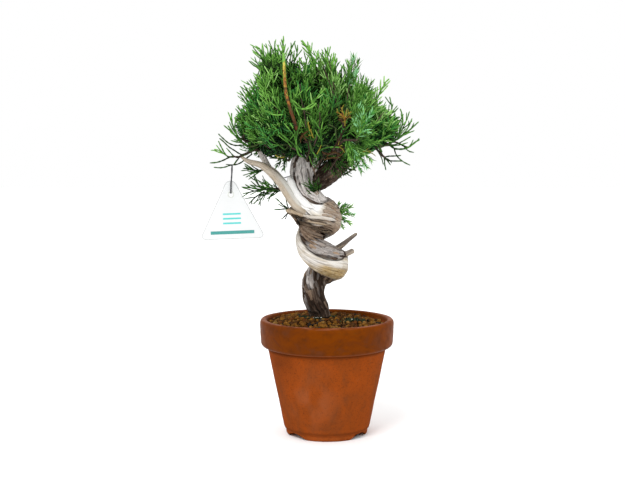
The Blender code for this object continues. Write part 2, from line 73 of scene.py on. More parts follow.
LIMBS = {
    "dead_branch": ((-17.0, -11.5, 187.0, 4.6), (-24.4, -13.4, 190.8, 4.4), (-29.8, -13.0, 197.4, 4.2),
                    (-36.2, -12.0, 207.0, 4.2), (-44.0, -10.0, 216.0, 4.0), (-53.0, -7.5, 222.6, 2.8),
                    (-62.4, -5.0, 225.4, 2.1), (-67.0, -3.6, 227.4, 1.5), (-70.6, -2.4, 230.2, 0.9)),
    "dead_spur": ((-19.0, -9.0, 187.5, 4.6), (-26.0, -7.6, 186.6, 3.4), (-34.2, -6.0, 185.6, 0.8)),
    "upper_stub": ((5.0, -0.6, 152.0, 2.6), (11.0, -1.0, 156.0, 2.1), (17.6, -2.4, 161.4, 1.8),
                   (24.6, -4.0, 166.9, 1.1)),
    "lower_stub": ((8.0, -3.2, 145.4, 2.8), (14.4, -3.6, 149.2, 2.4), (21.8, -5.0, 152.8, 2.1)),
    "left_bough": ((-37.0, -6.0, 207.6, 2.2), (-44.6, -1.0, 216.4, 2.3), (-49.0, 2.4, 222.6, 2.3),
                   (-53.6, 4.0, 231.0, 2.0), (-57.0, 3.6, 236.0, 1.8)),
    "right_bough": ((-10.6, 3.4, 207.0, 5.6), (-2.4, 5.4, 213.0, 7.3), (6.6, 5.4, 220.4, 7.3),
                    (14.4, 3.6, 228.0, 6.0), (19.6, 2.0, 236.6, 4.4)),
    "right_tip_bough": ((18.0, 1.6, 233.4, 3.2), (26.0, 0.0, 238.4, 2.8), (36.0, -1.0, 243.4, 2.2)),
    "right_top_bough": ((19.2, 2.0, 235.2, 3.0), (22.2, 2.2, 243.0, 2.6), (25.4, 1.4, 251.0, 2.2)),
    "centre_bough": ((-16.6, 2.0, 233.0, 5.4), (-14.2, 1.6, 243.0, 4.2), (-11.4, 1.0, 254.0, 3.2)),
    "leader_bough": ((-18.6, -3.0, 232.0, 3.6), (-21.6, -5.0, 241.0, 3.0), (-25.4, -4.4, 252.0, 2.6),
                     (-29.4, -3.6, 262.0, 2.2)),
    "left_top_bough": ((-21.0, 1.0, 229.0, 3.6), (-30.0, 0.4, 236.0, 2.9), (-39.4, -0.4, 243.4, 2.2)),
    "front_bough": ((-15.6, -3.0, 230.0, 3.6), (-12.4, -9.0, 234.4, 2.8), (-9.6, -15.0, 238.6, 2.1)),
    "back_left_bough": ((-19.6, 6.0, 227.0, 3.6), (-25.6, 14.0, 233.0, 2.9), (-31.6, 21.0, 240.0, 2.2)),
    "back_bough": ((-14.6, 6.0, 229.0, 3.6), (-11.4, 15.0, 236.0, 3.0), (-8.6, 24.0, 243.0, 2.3)),
    "back_right_bough": ((8.0, 7.6, 220.0, 3.6), (14.0, 14.6, 228.6, 2.9), (20.0, 21.4, 238.0, 2.2)),
}
# centre and half-sizes
CROWN = {
    "mass_left_top": ((-45.0, -3.0, 288.0), (25.0, 29.0, 31.0)),
    "mass_top": ((-24.0, 0.0, 291.0), (22.0, 27.0, 31.0)),
    "mass_top_right": ((3.0, 1.0, 284.0), (22.0, 27.0, 29.0)),
    "mass_right_top": ((32.0, -1.0, 273.0), (20.0, 27.0, 27.0)),
    "mass_right": ((55.0, -2.0, 250.0), (18.0, 25.0, 22.0)),
    "mass_left": ((-62.0, -1.0, 253.0), (20.0, 27.0, 25.0)),
    "mass_front_left": ((-38.0, -30.0, 254.0), (27.0, 23.0, 27.0)),
    "mass_front_right": ((8.0, -29.0, 250.0), (29.0, 22.0, 26.0)),
    "mass_back_left": ((-42.0, 32.0, 260.0), (30.0, 27.0, 35.0)),
    "mass_back": ((-6.0, 38.0, 264.0), (27.0, 26.0, 38.0)),
    "mass_back_right": ((31.0, 31.0, 256.0), (27.0, 27.0, 31.0)),
}
TAG_WIDTH, TAG_HEIGHT, TAG_THICK = 54.8, 50.6, 0.9
TAG_CORNER, TAG_TOP_CORNER = 3.2, 5.2
TAG_PLACE = (-77.4, -6.0, 162.4)
TAG_TILT = 2.2
TAG_HOLE_HEIGHT, TAG_HOLE_RADIUS = 36.6, 1.7
TIE_TOP = 223.0

# ================================================================ the camera
CAM_ACROSS, CAM_BACK, CAM_UP = -12.0, -900.0, 234.0    # from the pot's axis
CAM_PITCH = 4.55                                       # degrees downwards
FRAME_W, FRAME_H, CAM_FOCAL = 625, 477, 1092.0         # focal length in picture pixels


def at(px, py, depth):
    """The point of the plane y = depth that the camera sees at this place of the picture."""
    u, v = (px - FRAME_W / 2) / CAM_FOCAL, (FRAME_H / 2 - py) / CAM_FOCAL
    c, s = math.cos(math.radians(CAM_PITCH)), math.sin(math.radians(CAM_PITCH))
    ray = np.array((u, c + v * s, -s + v * c))
    k = (depth - CAM_BACK) / ray[1]
    return np.array((CAM_ACROSS, CAM_BACK, CAM_UP)) + ray * k


def picture(p):
    """Where the camera sees points, in picture pixels."""
    p = np.asarray(p, float) - np.array((CAM_ACROSS, CAM_BACK, CAM_UP))
    c, s = math.cos(math.radians(CAM_PITCH)), math.sin(math.radians(CAM_PITCH))
    deep = p[..., 1] * c - p[..., 2] * s
    up = p[..., 1] * s + p[..., 2] * c
    return np.stack([FRAME_W / 2 + CAM_FOCAL * p[..., 0] / deep, FRAME_H / 2 - CAM_FOCAL * up / deep], -1)


# ================================================================ noise and curves
def lattice(i, j, k, seed):
    h = (i * 374761393 + j * 668265263 + k * 2147483629 + seed * 1274126177) & 0xFFFFFFFF
    h = ((h ^ (h >> 13)) * 1274126177) & 0xFFFFFFFF
    h = ((h ^ (h >> 15)) * 2246822519) & 0xFFFFFFFF
    return ((h ^ (h >> 16)) & 0xFFFFFF) / float(0xFFFFFF) * 2 - 1


def noise(p, seed=0):
    """Smooth value noise from -1 to 1 at points (N, 3)."""
    p = np.asarray(p, float)
    f = np.floor(p)
    i = f.astype(np.int64)
    t = p - f
    t = t * t * t * (t * (t * 6 - 15) + 10)
    out = 0.0
    for a in (0, 1):
        wa = t[..., 0] if a else 1 - t[..., 0]
        for b in (0, 1):
            wb = t[..., 1] if b else 1 - t[..., 1]
            for c in (0, 1):
                wc = t[..., 2] if c else 1 - t[..., 2]
                out = out + wa * wb * wc * lattice(i[..., 0] + a, i[..., 1] + b, i[..., 2] + c, seed)
    return out


def layers(p, octaves=3, seed=0, gain=0.5):
    p = np.asarray(p, float)
    total, size, out = 0.0, 1.0, 0.0
    for n in range(octaves):
        out = out + size * noise(p * 2.03 ** n + 17.3 * n, seed + n)
        total += size
        size *= gain
    return out / total


def ease(x, low, high):
    t = np.clip((np.asarray(x, float) - low) / (high - low), 0, 1)
    return t * t * (3 - 2 * t)


def unit(v):
    v = np.asarray(v, float)
    return v / np.maximum(np.linalg.norm(v, axis=-1, keepdims=True), 1e-9)


def spline(rows, steps):
    rows = np.asarray(rows, float)
    ext = np.vstack([2 * rows[0] - rows[1], rows, 2 * rows[-1] - rows[-2]])
    out = []
    for i in range(1, len(ext) - 2):
        p0, p1, p2, p3 = ext[i - 1], ext[i], ext[i + 1], ext[i + 2]
        for k in range(steps):
            t = k / steps
            out.append(0.5 * (2 * p1 + (p2 - p0) * t + (2 * p0 - 5 * p1 + 4 * p2 - p3) * t ** 2
                              + (3 * p1 - p0 - 3 * p2 + p3) * t ** 3))
    out.append(rows[-1])
    return np.array(out)


def carried(points, ref):
    """Tangents and two cross directions carried along a line without twist."""
    tang = unit(np.gradient(points, axis=0))
    ref = np.asarray(ref, float)
    ones, twos = [], []
    for t in tang:
        ref = ref - t * ref.dot(t)
        ref = ref / max(np.linalg.norm(ref), 1e-9)
        ones.append(ref)
        twos.append(np.cross(t, ref))
    return tang, np.array(ones), np.array(twos)


# ================================================================ meshes
class Pile:
    """Points and faces gathered for one joined piece, in millimetres."""

    def __init__(self):
        self.points, self.quads, self.tris = [], [], []
        self.quad_slots, self.tri_slots = [], []
        self.count, self.extra = 0, {}

    def add(self, points, quads=(), tris=(), slot=0, tri_slot=None, **extra):
        points = np.asarray(points, float).reshape(-1, 3)
        if len(quads):
            q = np.asarray(quads, np.int64).reshape(-1, 4)
            self.quads.append(q + self.count)
            self.quad_slots.append(np.broadcast_to(np.asarray(slot), (len(q),)).astype(np.int64))
        if len(tris):
            t = np.asarray(tris, np.int64).reshape(-1, 3)
            self.tris.append(t + self.count)
            s = slot if tri_slot is None else tri_slot
            self.tri_slots.append(np.broadcast_to(np.asarray(s), (len(t),)).astype(np.int64))
        self.points.append(points)
        for k, v in extra.items():
            self.extra.setdefault(k, []).append(np.broadcast_to(np.asarray(v, float), (len(points),)))
        self.count += len(points)

    def triangles(self):
        return 2 * sum(map(len, self.quads)) + sum(map(len, self.tris))


MADE = []


def piece(name, pile, materials, replaces=(), smooth=True, sharp=None):
    points = np.concatenate(pile.points)
    quads = np.concatenate(pile.quads) if pile.quads else np.zeros((0, 4), np.int64)
    tris = np.concatenate(pile.tris) if pile.tris else np.zeros((0, 3), np.int64)
    slots = np.concatenate((pile.quad_slots or [np.zeros(0, np.int64)]) + (pile.tri_slots or [np.zeros(0, np.int64)]))
    me = bpy.data.meshes.new(name)
    me.vertices.add(len(points))
    me.vertices.foreach_set("co", ((points + AXIS) * MM).astype(np.float32).ravel())
    me.loops.add(quads.size + tris.size)
    me.loops.foreach_set("vertex_index", np.concatenate([quads.ravel(), tris.ravel()]).astype(np.int32))
    me.polygons.add(len(quads) + len(tris))
    starts = np.concatenate([np.arange(len(quads)) * 4, quads.size + np.arange(len(tris)) * 3])
    me.polygons.foreach_set("loop_start", starts.astype(np.int32))
    me.polygons.foreach_set("material_index", slots.astype(np.int32))
    me.polygons.foreach_set("use_smooth", np.full(len(slots), smooth))
    me.update(calc_edges=True)
    for key, parts in pile.extra.items():
        me.attributes.new(key, "FLOAT", "POINT").data.foreach_set(
            "value", np.concatenate(parts).astype(np.float32))
    if sharp is not None:
        me.set_sharp_from_angle(angle=math.radians(sharp))
    for m in materials:
        me.materials.append(m)
    ob = bpy.data.objects.new(name, me)
    bpy.context.scene.collection.objects.link(ob)
    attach(ob, "root")
    if replaces:
        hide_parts(*replaces)
    MADE.append((name, pile.triangles()))
    return ob


def grid_faces(rows, cols, wrap=True, close=False):
    """Quads of a grid of rows x cols points; wrap joins the last column to the first."""
    i = np.arange(rows if close else rows - 1)[:, None]
    k = np.arange(cols if wrap else cols - 1)[None, :]
    j, m = (i + 1) % rows, (k + 1) % cols
    return np.stack([i * cols + k, i * cols + m, j * cols + m, j * cols + k], -1).reshape(-1, 4)


def ico(level):
    bm = bmesh.new()
    bmesh.ops.create_icosphere(bm, subdivisions=level, radius=1.0)
    v = np.array([tuple(x.co) for x in bm.verts])
    f = np.array([[x.index for x in g.verts] for g in bm.faces])
    bm.free()
    return v, f


# ================================================================ materials
class Shader:
    """A node material with one Principled shader."""

    def __init__(self, name, rough=0.6, spec=0.5, metal=0.0, colour=(0.5, 0.5, 0.5)):
        self.mat = bpy.data.materials.new(name)
        self.mat.use_nodes = True
        self.tree = self.mat.node_tree
        self.bsdf = self.tree.nodes["Principled BSDF"]
        self.set("Base Color", (*colour, 1.0))
        self.set("Roughness", rough)
        self.set("Specular IOR Level", spec)
        self.set("Metallic", metal)
        self.mat.diffuse_color = (*colour, 1.0)

    def set(self, socket, value):
        self.bsdf.inputs[socket].default_value = value

    def node(self, kind, **props):
        n = self.tree.nodes.new(kind)
        for k, v in props.items():
            setattr(n, k, v)
        return n

    def put(self, value, socket):
        """Links an output, or sets a constant."""
        if isinstance(value, bpy.types.NodeSocket):
            self.tree.links.new(value, socket)
        elif isinstance(value, (tuple, list)) and len(value) == 3 and socket.type == "RGBA":
            socket.default_value = (*value, 1.0)
        else:
            socket.default_value = value

    def place(self):
        return self.node("ShaderNodeTexCoord").outputs["Object"]

    def attr(self, name):
        n = self.node("ShaderNodeAttribute", attribute_name=name)
        return n.outputs["Fac"]

    def stretch(self, vector, scale):
        n = self.node("ShaderNodeMapping")
        self.put(vector, n.inputs["Vector"])
        n.inputs["Scale"].default_value = scale
        return n.outputs["Vector"]

    def pack(self, x, y, z):
        n = self.node("ShaderNodeCombineXYZ")
        for v, s in zip((x, y, z), ("X", "Y", "Z")):
            self.put(v, n.inputs[s])
        return n.outputs["Vector"]

    def noise(self, vector, scale, detail=3.0, rough=0.55, distort=0.0):
        n = self.node("ShaderNodeTexNoise")
        self.put(vector, n.inputs["Vector"])
        n.inputs["Scale"].default_value = scale
        n.inputs["Detail"].default_value = detail
        n.inputs["Roughness"].default_value = rough
        n.inputs["Distortion"].default_value = distort
        return n.outputs["Fac"]

    def cells(self, vector, scale, feature="F1"):
        n = self.node("ShaderNodeTexVoronoi", feature=feature)
        self.put(vector, n.inputs["Vector"])
        n.inputs["Scale"].default_value = scale
        return n.outputs["Distance"]

    def ramp(self, fac, *stops):
        n = self.node("ShaderNodeValToRGB")
        self.put(fac, n.inputs["Fac"])
        el = n.color_ramp.elements
        while len(el) < len(stops):
            el.new(0.5)
        for e, (pos, col) in zip(el, stops):
            e.position = pos
            e.color = (*col, 1.0) if isinstance(col, tuple) else (col, col, col, 1.0)
        return n.outputs["Color"]

    def mix(self, fac, a, b, mode="MIX"):
        n = self.node("ShaderNodeMix", data_type="RGBA", blend_type=mode)
        self.put(fac, n.inputs[0])
        self.put(a, n.inputs[6])
        self.put(b, n.inputs[7])
        return n.outputs[2]

    def maths(self, op, a, b=0.0, clamp=False):
        n = self.node("ShaderNodeMath", operation=op, use_clamp=clamp)
        self.put(a, n.inputs[0])
        self.put(b, n.inputs[1])
        return n.outputs[0]

    def bump(self, height, strength, distance):
        n = self.node("ShaderNodeBump")
        n.inputs["Strength"].default_value = strength
        n.inputs["Distance"].default_value = distance
        self.put(height, n.inputs["Height"])
        self.put(n.outputs["Normal"], self.bsdf.inputs["Normal"])

    def colour(self, value):
        self.put(value, self.bsdf.inputs["Base Color"])

    def rough(self, value):
        self.put(value, self.bsdf.inputs["Roughness"])


def lin(r, g, b):
    """A colour given in ordinary 0-255 values."""
    return tuple((c / 255 / 12.92) if c <= 10 else ((c / 255 + 0.055) / 1.055) ** 2.4 for c in (r, g, b))


# ================================================================ the pot
def clay_body():
    s = Shader("pot_clay", rough=0.88, spec=0.03)
    s.set("Specular Tint", (1.0, 0.62, 0.40, 1.0))
    where = s.place()
    slant = s.node("ShaderNodeMapping")
    s.put(where, slant.inputs["Vector"])
    slant.inputs["Rotation"].default_value = (0.5, 0.7, 0.3)
    slant.inputs["Scale"].default_value = (1.0, 1.0, 0.55)
    wide = s.noise(slant.outputs["Vector"], 38.0, 5.0, 0.62, 0.6)
    mid = s.noise(where, 150.0, 4.0, 0.6)
    fine = s.noise(where, 950.0, 2.0, 0.6)
    c = s.ramp(wide, (0.30, (0.150, 0.040, 0.0110)), (0.46, (0.225, 0.047, 0.0070)),
               (0.60, (0.262, 0.051, 0.0060)), (0.74, (0.235, 0.062, 0.0150)))
    c = s.mix(s.maths("MULTIPLY", s.ramp(mid, (0.54, 0.0), (0.72, 1.0)), 0.30), c, (0.110, 0.028, 0.008))
    c = s.mix(s.maths("MULTIPLY", s.ramp(fine, (0.56, 0.0), (0.68, 1.0)), 0.55), c, (0.060, 0.017, 0.006))
    c = s.mix(s.maths("MULTIPLY", s.attr("stain"), 0.93), c, (0.006, 0.004, 0.003))
    # pale: painted highlight along the band's lower edge, and paler wear round the foot
    c = s.mix(s.maths("MULTIPLY", s.attr("pale"), 0.5), c, (0.30, 0.085, 0.022))
    c = s.mix(s.maths("MULTIPLY", s.attr("bloom"), 0.58), c, (0.265, 0.080, 0.030))
    # dark: painted shade under the band, along the foot's step, inside and down the left side, with a real darker patch
    # high on the left
    c = s.mix(s.maths("MULTIPLY", s.attr("dark"), 0.8), c, (0.055, 0.014, 0.004))
    s.colour(c)
    s.rough(s.ramp(mid, (0.3, 0.80), (0.7, 0.92)))
    h = s.maths("ADD", s.maths("MULTIPLY", fine, 0.6), s.maths("MULTIPLY", mid, 0.8))
    s.bump(h, 0.35, 0.0003)
    return s.mat


def clay_glaze():
    s = Shader("pot_rim_glaze", rough=0.50, spec=0.035)
    s.set("Specular Tint", (1.0, 0.50, 0.26, 1.0))
    where = s.place()
    wide = s.noise(s.stretch(where, (1.0, 1.0, 1.5)), 46.0, 4.0, 0.6, 0.8)
    mid = s.noise(where, 190.0, 4.0, 0.6)
    fine = s.noise(where, 1100.0, 2.0, 0.6)
    c = s.ramp(wide, (0.32, (0.105, 0.028, 0.0080)), (0.44, (0.120, 0.026, 0.0022)),
               (0.56, (0.148, 0.031, 0.0010)), (0.70, (0.128, 0.033, 0.0030)))
    c = s.mix(s.maths("MULTIPLY", s.ramp(mid, (0.50, 0.0), (0.70, 1.0)), 0.4), c, (0.052, 0.015, 0.003))
    c = s.mix(s.maths("MULTIPLY", s.ramp(fine, (0.62, 0.0), (0.74, 1.0)), 0.35), c, (0.03, 0.01, 0.004))
    # pale: painted highlights round the lip and along the band's lower edge
    c = s.mix(s.maths("MULTIPLY", s.attr("pale"), 0.70), c, (0.27, 0.105, 0.062))
    # dark: painted shade down the left side
    c = s.mix(s.maths("MULTIPLY", s.attr("dark"), 0.8), c, (0.030, 0.008, 0.002))
    s.colour(c)
    s.rough(s.ramp(mid, (0.3, 0.42), (0.7, 0.58)))
    s.bump(s.maths("ADD", s.maths("MULTIPLY", fine, 0.3), mid), 0.2, 0.0003)
    return s.mat


def pot_line():
    """Outer line from the foot up, over the lip and down the inside: radius, height, slot."""
    rows = []

    def arc(points, count, slot):
        pts = spline(points, max(1, count // (len(points) - 1)))
        for p in (pts[1:] if rows else pts):
            rows.append((p[0], p[1], slot))

    arc([(27.6, 0.15), (28.1, 0.0), (30.4, 0.0), (32.5, 0.0), (33.4, 0.35), (33.8, 1.1)], 10, 0)
    arc([(33.8, 1.1), (34.0, 2.3), (34.05, 3.6), (34.6, 4.6), (35.35, 5.7), (35.9, 7.4), (36.35, 9.4)], 18, 0)
    arc([(36.35, 9.4), (39.9, 27.0), (43.1, 42.4), (46.4, 58.4), (49.05, 71.2)], 28, 0)
    arc([(49.05, 71.2), (49.1, 71.9), (49.5, 72.5), (50.6, 72.8)], 6, 0)
    arc([(50.6, 72.8), (52.3, 73.2), (53.5, 74.2), (54.1, 75.8), (54.35, 78.0)], 12, 1)
    arc([(54.35, 78.0), (54.75, 84.0), (55.0, 91.4)], 8, 1)
    arc([(55.0, 91.4), (54.95, 93.1), (54.45, 94.7), (53.5, 95.7), (52.4, 96.0), (51.3, 95.95), (50.5, 95.5)], 18, 1)
    arc([(50.5, 95.5), (50.0, 94.8), (49.75, 93.8)], 4, 1)
    arc([(49.75, 93.8), (48.6, 89.6), (47.3, 85.0), (31.8, 10.0), (30.6, 7.8), (28.0, 7.0)], 10, 0)
    arc([(28.0, 7.0), (15.0, 7.0), (6.4, 7.0), (6.0, 6.6), (6.0, 3.4), (6.4, 3.0), (16.0, 3.0), (26.6, 3.0)], 7, 0)
    arc([(26.6, 3.0), (27.3, 2.6), (27.5, 1.4), (27.6, 0.15)], 3, 0)
    return rows[:-1]


def build_pot():
    sides = 240
    line = pot_line()
    r = np.array([p[0] for p in line])[:, None]
    z = np.array([p[1] for p in line])[:, None]
    slot = np.array([p[2] for p in line])
    a = (np.arange(sides) * TAU / sides)[None, :]
    outer = (np.arange(len(line)) < len(line) - 24)[:, None]
    # turning rings and a slight unevenness of the wall
    zz = np.repeat(z, sides, 1)
    ring = layers(np.stack([zz * 0.55, np.cos(a) * 0.9 + 0 * zz, np.sin(a) * 0.9 + 0 * zz], -1), 3, 5)
    sway = layers(np.stack([zz * 0.03, np.cos(a) * 1.3 + 0 * zz, np.sin(a) * 1.3 + 0 * zz], -1), 2, 9)
    wall = ease(zz, 7, 12) * outer
    rr = r + wall * (0.10 * ring + 0.22 * sway) + 0.55 * outer * ease(zz, 73, 76)
    zz = zz + outer * ease(zz, 90, 94) * 0.18 * layers(
        np.stack([np.cos(a) * 1.6 + 0 * zz, np.sin(a) * 1.6 + 0 * zz, 3 + 0 * zz], -1), 2, 12)
    stain = np.zeros_like(zz)
    for n, bearing in enumerate(NOTCH_BEARINGS):
        off = (a - math.radians(bearing) + math.pi) % TAU - math.pi
        across = rr * np.sin(off)
        near = (np.abs(off) < 0.5) & (rr > 27.0) & (zz < 12)
        arch = np.where(near & (np.abs(across) < NOTCH_RADIUS),
                        np.sqrt(np.maximum(NOTCH_RADIUS ** 2 - across ** 2, 0)) - NOTCH_AXIS_DROP, -9.0)
        zz = np.where(arch > zz, arch, zz)
        if n == 1:
            patch = layers(np.stack([across * 0.35, zz * 0.6, 0 * zz], -1), 3, 21)
            stain += near * outer * ease(-np.abs(across + 1.0 - (zz - 3) * 0.8), -8.5, -5.0) * ease(
                4.6 + 2.2 * patch - zz, -0.6, 0.6)
    pale, dark = np.zeros_like(zz), np.zeros_like(zz)
    # painted shade: a dark line just under the rim band, a dark line along the foot's step, and the inside and the
    # underside darker lower down
    dark += outer * ease(zz, 70.6, 71.6) * ease(-zz, -72.6, -72.0) * 0.9
    dark += outer * 0.55 * np.exp(-((zz - 6.2) / 0.9) ** 2)
    dark += (1 - outer) * ease(-zz, -60, -40)
    # painted highlight: a pale line along the band's lower edge and pale streaks round the top of the lip; lower down,
    # paler wear round the foot
    pale += outer * 0.28 * ease(zz, 72.1, 72.6) * ease(-zz, -74.6, -73.6)
    lip_highlight_and_foot_wear = layers(np.stack([np.cos(a) * 5 + 0 * zz, np.sin(a) * 5 + 0 * zz, zz * 0.3], -1), 3, 31)
    pale += outer * 0.8 * ease(zz, 95.2, 95.9) * ease(lip_highlight_and_foot_wear, -0.15, 0.35)
    pale += outer * 0.5 * ease(-zz, -6.5, -1.0) * ease(lip_highlight_and_foot_wear, -0.3, 0.4)
    # a dusty bloom on the front, a darker patch high on the left, painted shade down the left side, painted highlight
    # streaks on the front lip
    bx, front = rr * np.cos(a), ease(-np.sin(a), 0.2, 0.6)
    cloud = layers(np.stack([bx * 0.10, 0 * zz, zz * 0.08], -1), 4, 51)
    bloom = outer * front * np.exp(-((bx + 12) / 17) ** 2 - ((zz - 31) / 24) ** 2) * ease(cloud, -0.55, 0.45)
    dark += outer * front * 0.32 * np.exp(-((bx + 36) / 11) ** 2 - ((zz - 63) / 7) ** 2)
    dark += outer * 0.22 * ease(-bx, 20, 42) * ease(-np.sin(a), -0.2, 0.5)
    lip_highlight_streaks = layers(np.stack([np.cos(a) * 9 + 0 * zz, np.sin(a) * 9 + 0 * zz, zz * 1.6], -1), 3, 52)
    pale += outer * 0.55 * np.exp(-(bx / 24) ** 2) * front * ease(zz, 94.2, 95.2) * ease(lip_highlight_streaks, -0.1, 0.3)
    pts = np.stack([rr * np.cos(a), rr * np.sin(a), zz], -1).reshape(-1, 3)
    faces = grid_faces(len(line), sides, True, True)
    quad_slot = np.repeat(slot, sides)
    pile = Pile()
    pile.add(pts, faces, slot=quad_slot, stain=np.clip(stain, 0, 1).ravel(), pale=np.clip(pale, 0, 1).ravel(),
             dark=np.clip(dark, 0, 1).ravel(), bloom=np.clip(bloom, 0, 1).ravel())
    piece("clay_pot", pile, [clay_body(), clay_glaze()], ["pot"], sharp=60)


# ================================================================ the soil
def soil_height(x, y):
    d = np.hypot(x - LOWER_STEM[0][0], y - LOWER_STEM[0][1])
    fall = np.maximum(0.0, d - 19.0) / 36.0
    return SOIL_CROWN - SOIL_FALL * fall ** 1.2


def grain_material(name, dark, mid, light):
    s = Shader(name, rough=0.95, spec=0.08)
    where = s.place()
    a = s.noise(where, 330.0, 3.0, 0.65)
    b = s.noise(where, 1500.0, 2.0, 0.6)
    c = s.ramp(a, (0.34, dark), (0.52, mid), (0.68, light))
    c = s.mix(s.maths("MULTIPLY", s.ramp(b, (0.52, 0.0), (0.7, 1.0)), 0.5), c, dark)
    s.colour(c)
    s.bump(s.maths("ADD", a, b), 0.5, 0.0003)
    return s.mat


def build_soil():
    rng = np.random.default_rng(41)
    base = Pile()
    n, rings = 96, 26
    rad = np.linspace(0.5, 48.3, rings)[:, None]
    a = (np.arange(n) * TAU / n)[None, :]
    x, y = rad * np.cos(a), rad * np.sin(a)
    z = soil_height(x, y) - 1.9 + 0.7 * layers(np.stack([x * 0.3, y * 0.3, 0 * x], -1), 3, 3)
    pts = np.concatenate([np.stack([x, y, z], -1).reshape(-1, 3),
                          np.stack([x[-1] * 0.985, y[-1] * 0.985, z[-1] - 6.0], -1)])
    faces = grid_faces(rings + 1, n)[:, ::-1]
    base.add(pts, faces[:, ::-1])
    top = len(pts)
    tris = [(0 * n + k, 0 * n + (k + 1) % n, top) for k in range(n)]
    low = [((rings) * n + (k + 1) % n, (rings) * n + k, top + 1) for k in range(n)]
    base.points[0] = np.concatenate([pts, [(0, 0, float(z[0].mean())), (0, 0, float(z[-1].mean()) - 6.0)]])
    base.count += 2
    base.tris.append(np.array(tris + low))
    base.tri_slots.append(np.zeros(2 * n, np.int64))
    earth = grain_material("soil_dark", (0.006, 0.004, 0.003), (0.014, 0.008, 0.005), (0.026, 0.014, 0.008))
    piece("soil_bed", base, [earth], ["soil"])

    tones = [grain_material("grain_gold", (0.070, 0.026, 0.004), (0.150, 0.062, 0.008), (0.245, 0.115, 0.018)),
             grain_material("grain_tan", (0.085, 0.038, 0.008), (0.165, 0.082, 0.018), (0.25, 0.140, 0.040)),
             grain_material("grain_brown", (0.024, 0.009, 0.002), (0.056, 0.022, 0.005), (0.095, 0.042, 0.010)),
             grain_material("grain_red", (0.036, 0.011, 0.003), (0.086, 0.027, 0.005), (0.13, 0.048, 0.012)),
             grain_material("grain_black", (0.008, 0.006, 0.005), (0.018, 0.013, 0.010), (0.035, 0.028, 0.022))]
    grains = Pile()
    foot = np.array(LOWER_STEM[0][:2])
    big, small = ico(2), ico(1)
    placed = np.zeros((0, 3))
    for size_low, size_high, tries, shape, lift in ((1.55, 2.7, 5200, big, 0.1), (0.9, 1.5, 5200, big, 0.0),
                                                    (0.45, 0.85, 2600, small, 0.1)):
        r = 48.2 * np.sqrt(rng.random(tries))
        t = rng.random(tries) * TAU
        sizes = rng.uniform(size_low, size_high, tries)
        keep = []
        for x, y, s in zip(r * np.cos(t), r * np.sin(t), sizes):
            if math.hypot(x, y) + s * 0.8 > 48.6 or math.hypot(x - foot[0], y - foot[1]) < 9.6 + s:
                continue
            if len(placed):
                d = np.hypot(placed[:, 0] - x, placed[:, 1] - y)
                if np.any(d < (placed[:, 2] + s) * (0.80 if size_low > 0.8 else 0.72)):
                    continue
            placed = np.vstack([placed, (x, y, s)])
            keep.append((x, y, s))
        v0, f0 = shape
        for x, y, s in keep:
            z = float(soil_height(x, y)) - 1.3 + s * 0.35 + rng.normal(0, 0.45) + lift
            q = rng.normal(size=4)
            q /= np.linalg.norm(q)
            w, i, j, k = q
            rot = np.array([[1 - 2 * (j * j + k * k), 2 * (i * j - k * w), 2 * (i * k + j * w)],
                            [2 * (i * j + k * w), 1 - 2 * (i * i + k * k), 2 * (j * k - i * w)],
                            [2 * (i * k - j * w), 2 * (j * k + i * w), 1 - 2 * (i * i + j * j)]])
            v = v0.copy()
            for _ in range(5):                             # chipped faces
                d = unit(rng.normal(size=3))
                c = v @ d
                cut = rng.uniform(0.62, 0.85)
                v = v - np.maximum(c - cut, 0)[:, None] * d * 0.9
            v = v * (1 + 0.10 * noise(v * 2.1 + rng.random(3) * 50, 3))[:, None]
            v = (v * rng.uniform((0.85, 0.8, 0.68), (1.15, 1.05, 0.95))) @ rot.T * s
            tone = rng.choice(5, p=(0.36, 0.17, 0.27, 0.14, 0.06))
            grains.add(v + (x, y, z), tris=f0, slot=tone)
    piece("soil_grains", grains, tones, sharp=38)

    moss = Pile()
    spots = [((-16.5, -3.5), 5.2, 150), ((-9.0, -6.0), 4.0, 70), ((-19.5, 4.0), 4.2, 60), ((21.0, -6.0), 5.6, 150),
             ((28.0, 2.0), 4.6, 80), ((16.0, -12.0), 3.0, 40), ((-2.0, 20.0), 5.0, 80), ((6.0, 4.0), 3.2, 40)]
    for (cx, cy), spread, count in spots:
        for _ in range(count):
            x, y = cx + rng.normal(0, spread * 0.55), cy + rng.normal(0, spread * 0.42)
            if math.hypot(x, y) > 47 or math.hypot(x - foot[0], y - foot[1]) < 8.5:
                continue
            z = float(soil_height(x, y)) + rng.uniform(0.1, 1.1)
            s = rng.uniform(0.35, 0.85)
            moss.add(small[0] * s * rng.uniform((0.8, 0.8, 0.7), (1.3, 1.3, 1.1)) + (x, y, z), tris=small[1],
                     slot=int(rng.choice(3, p=(0.55, 0.3, 0.15))))
            for _ in range(2):                             # fine leaves of the moss
                d = unit(rng.normal(size=3) * (1, 1, 0.6) + (0, 0, 1.1))
                side = unit(np.cross(d, rng.normal(size=3)))
                p = np.array((x, y, z)) + rng.normal(0, 0.4, 3) * (1, 1, 0.2)
                h, w = rng.uniform(0.8, 1.7), rng.uniform(0.12, 0.2)
                back = np.cross(d, side)
                moss.add([p - side * w, p + side * w, p + back * w, p + d * h],
                         tris=[(0, 1, 3), (1, 2, 3), (2, 0, 3), (0, 2, 1)], slot=int(rng.choice(3, p=(0.3, 0.35, 0.35))))
    moss_tones = [grain_material("moss_black", (0.004, 0.006, 0.004), (0.008, 0.012, 0.009), (0.016, 0.022, 0.016)),
                  grain_material("moss_green", (0.010, 0.020, 0.010), (0.020, 0.040, 0.018), (0.040, 0.070, 0.030)),
                  grain_material("moss_olive", (0.020, 0.028, 0.010), (0.045, 0.060, 0.020), (0.080, 0.10, 0.04))]
    piece("soil_moss", moss, moss_tones)

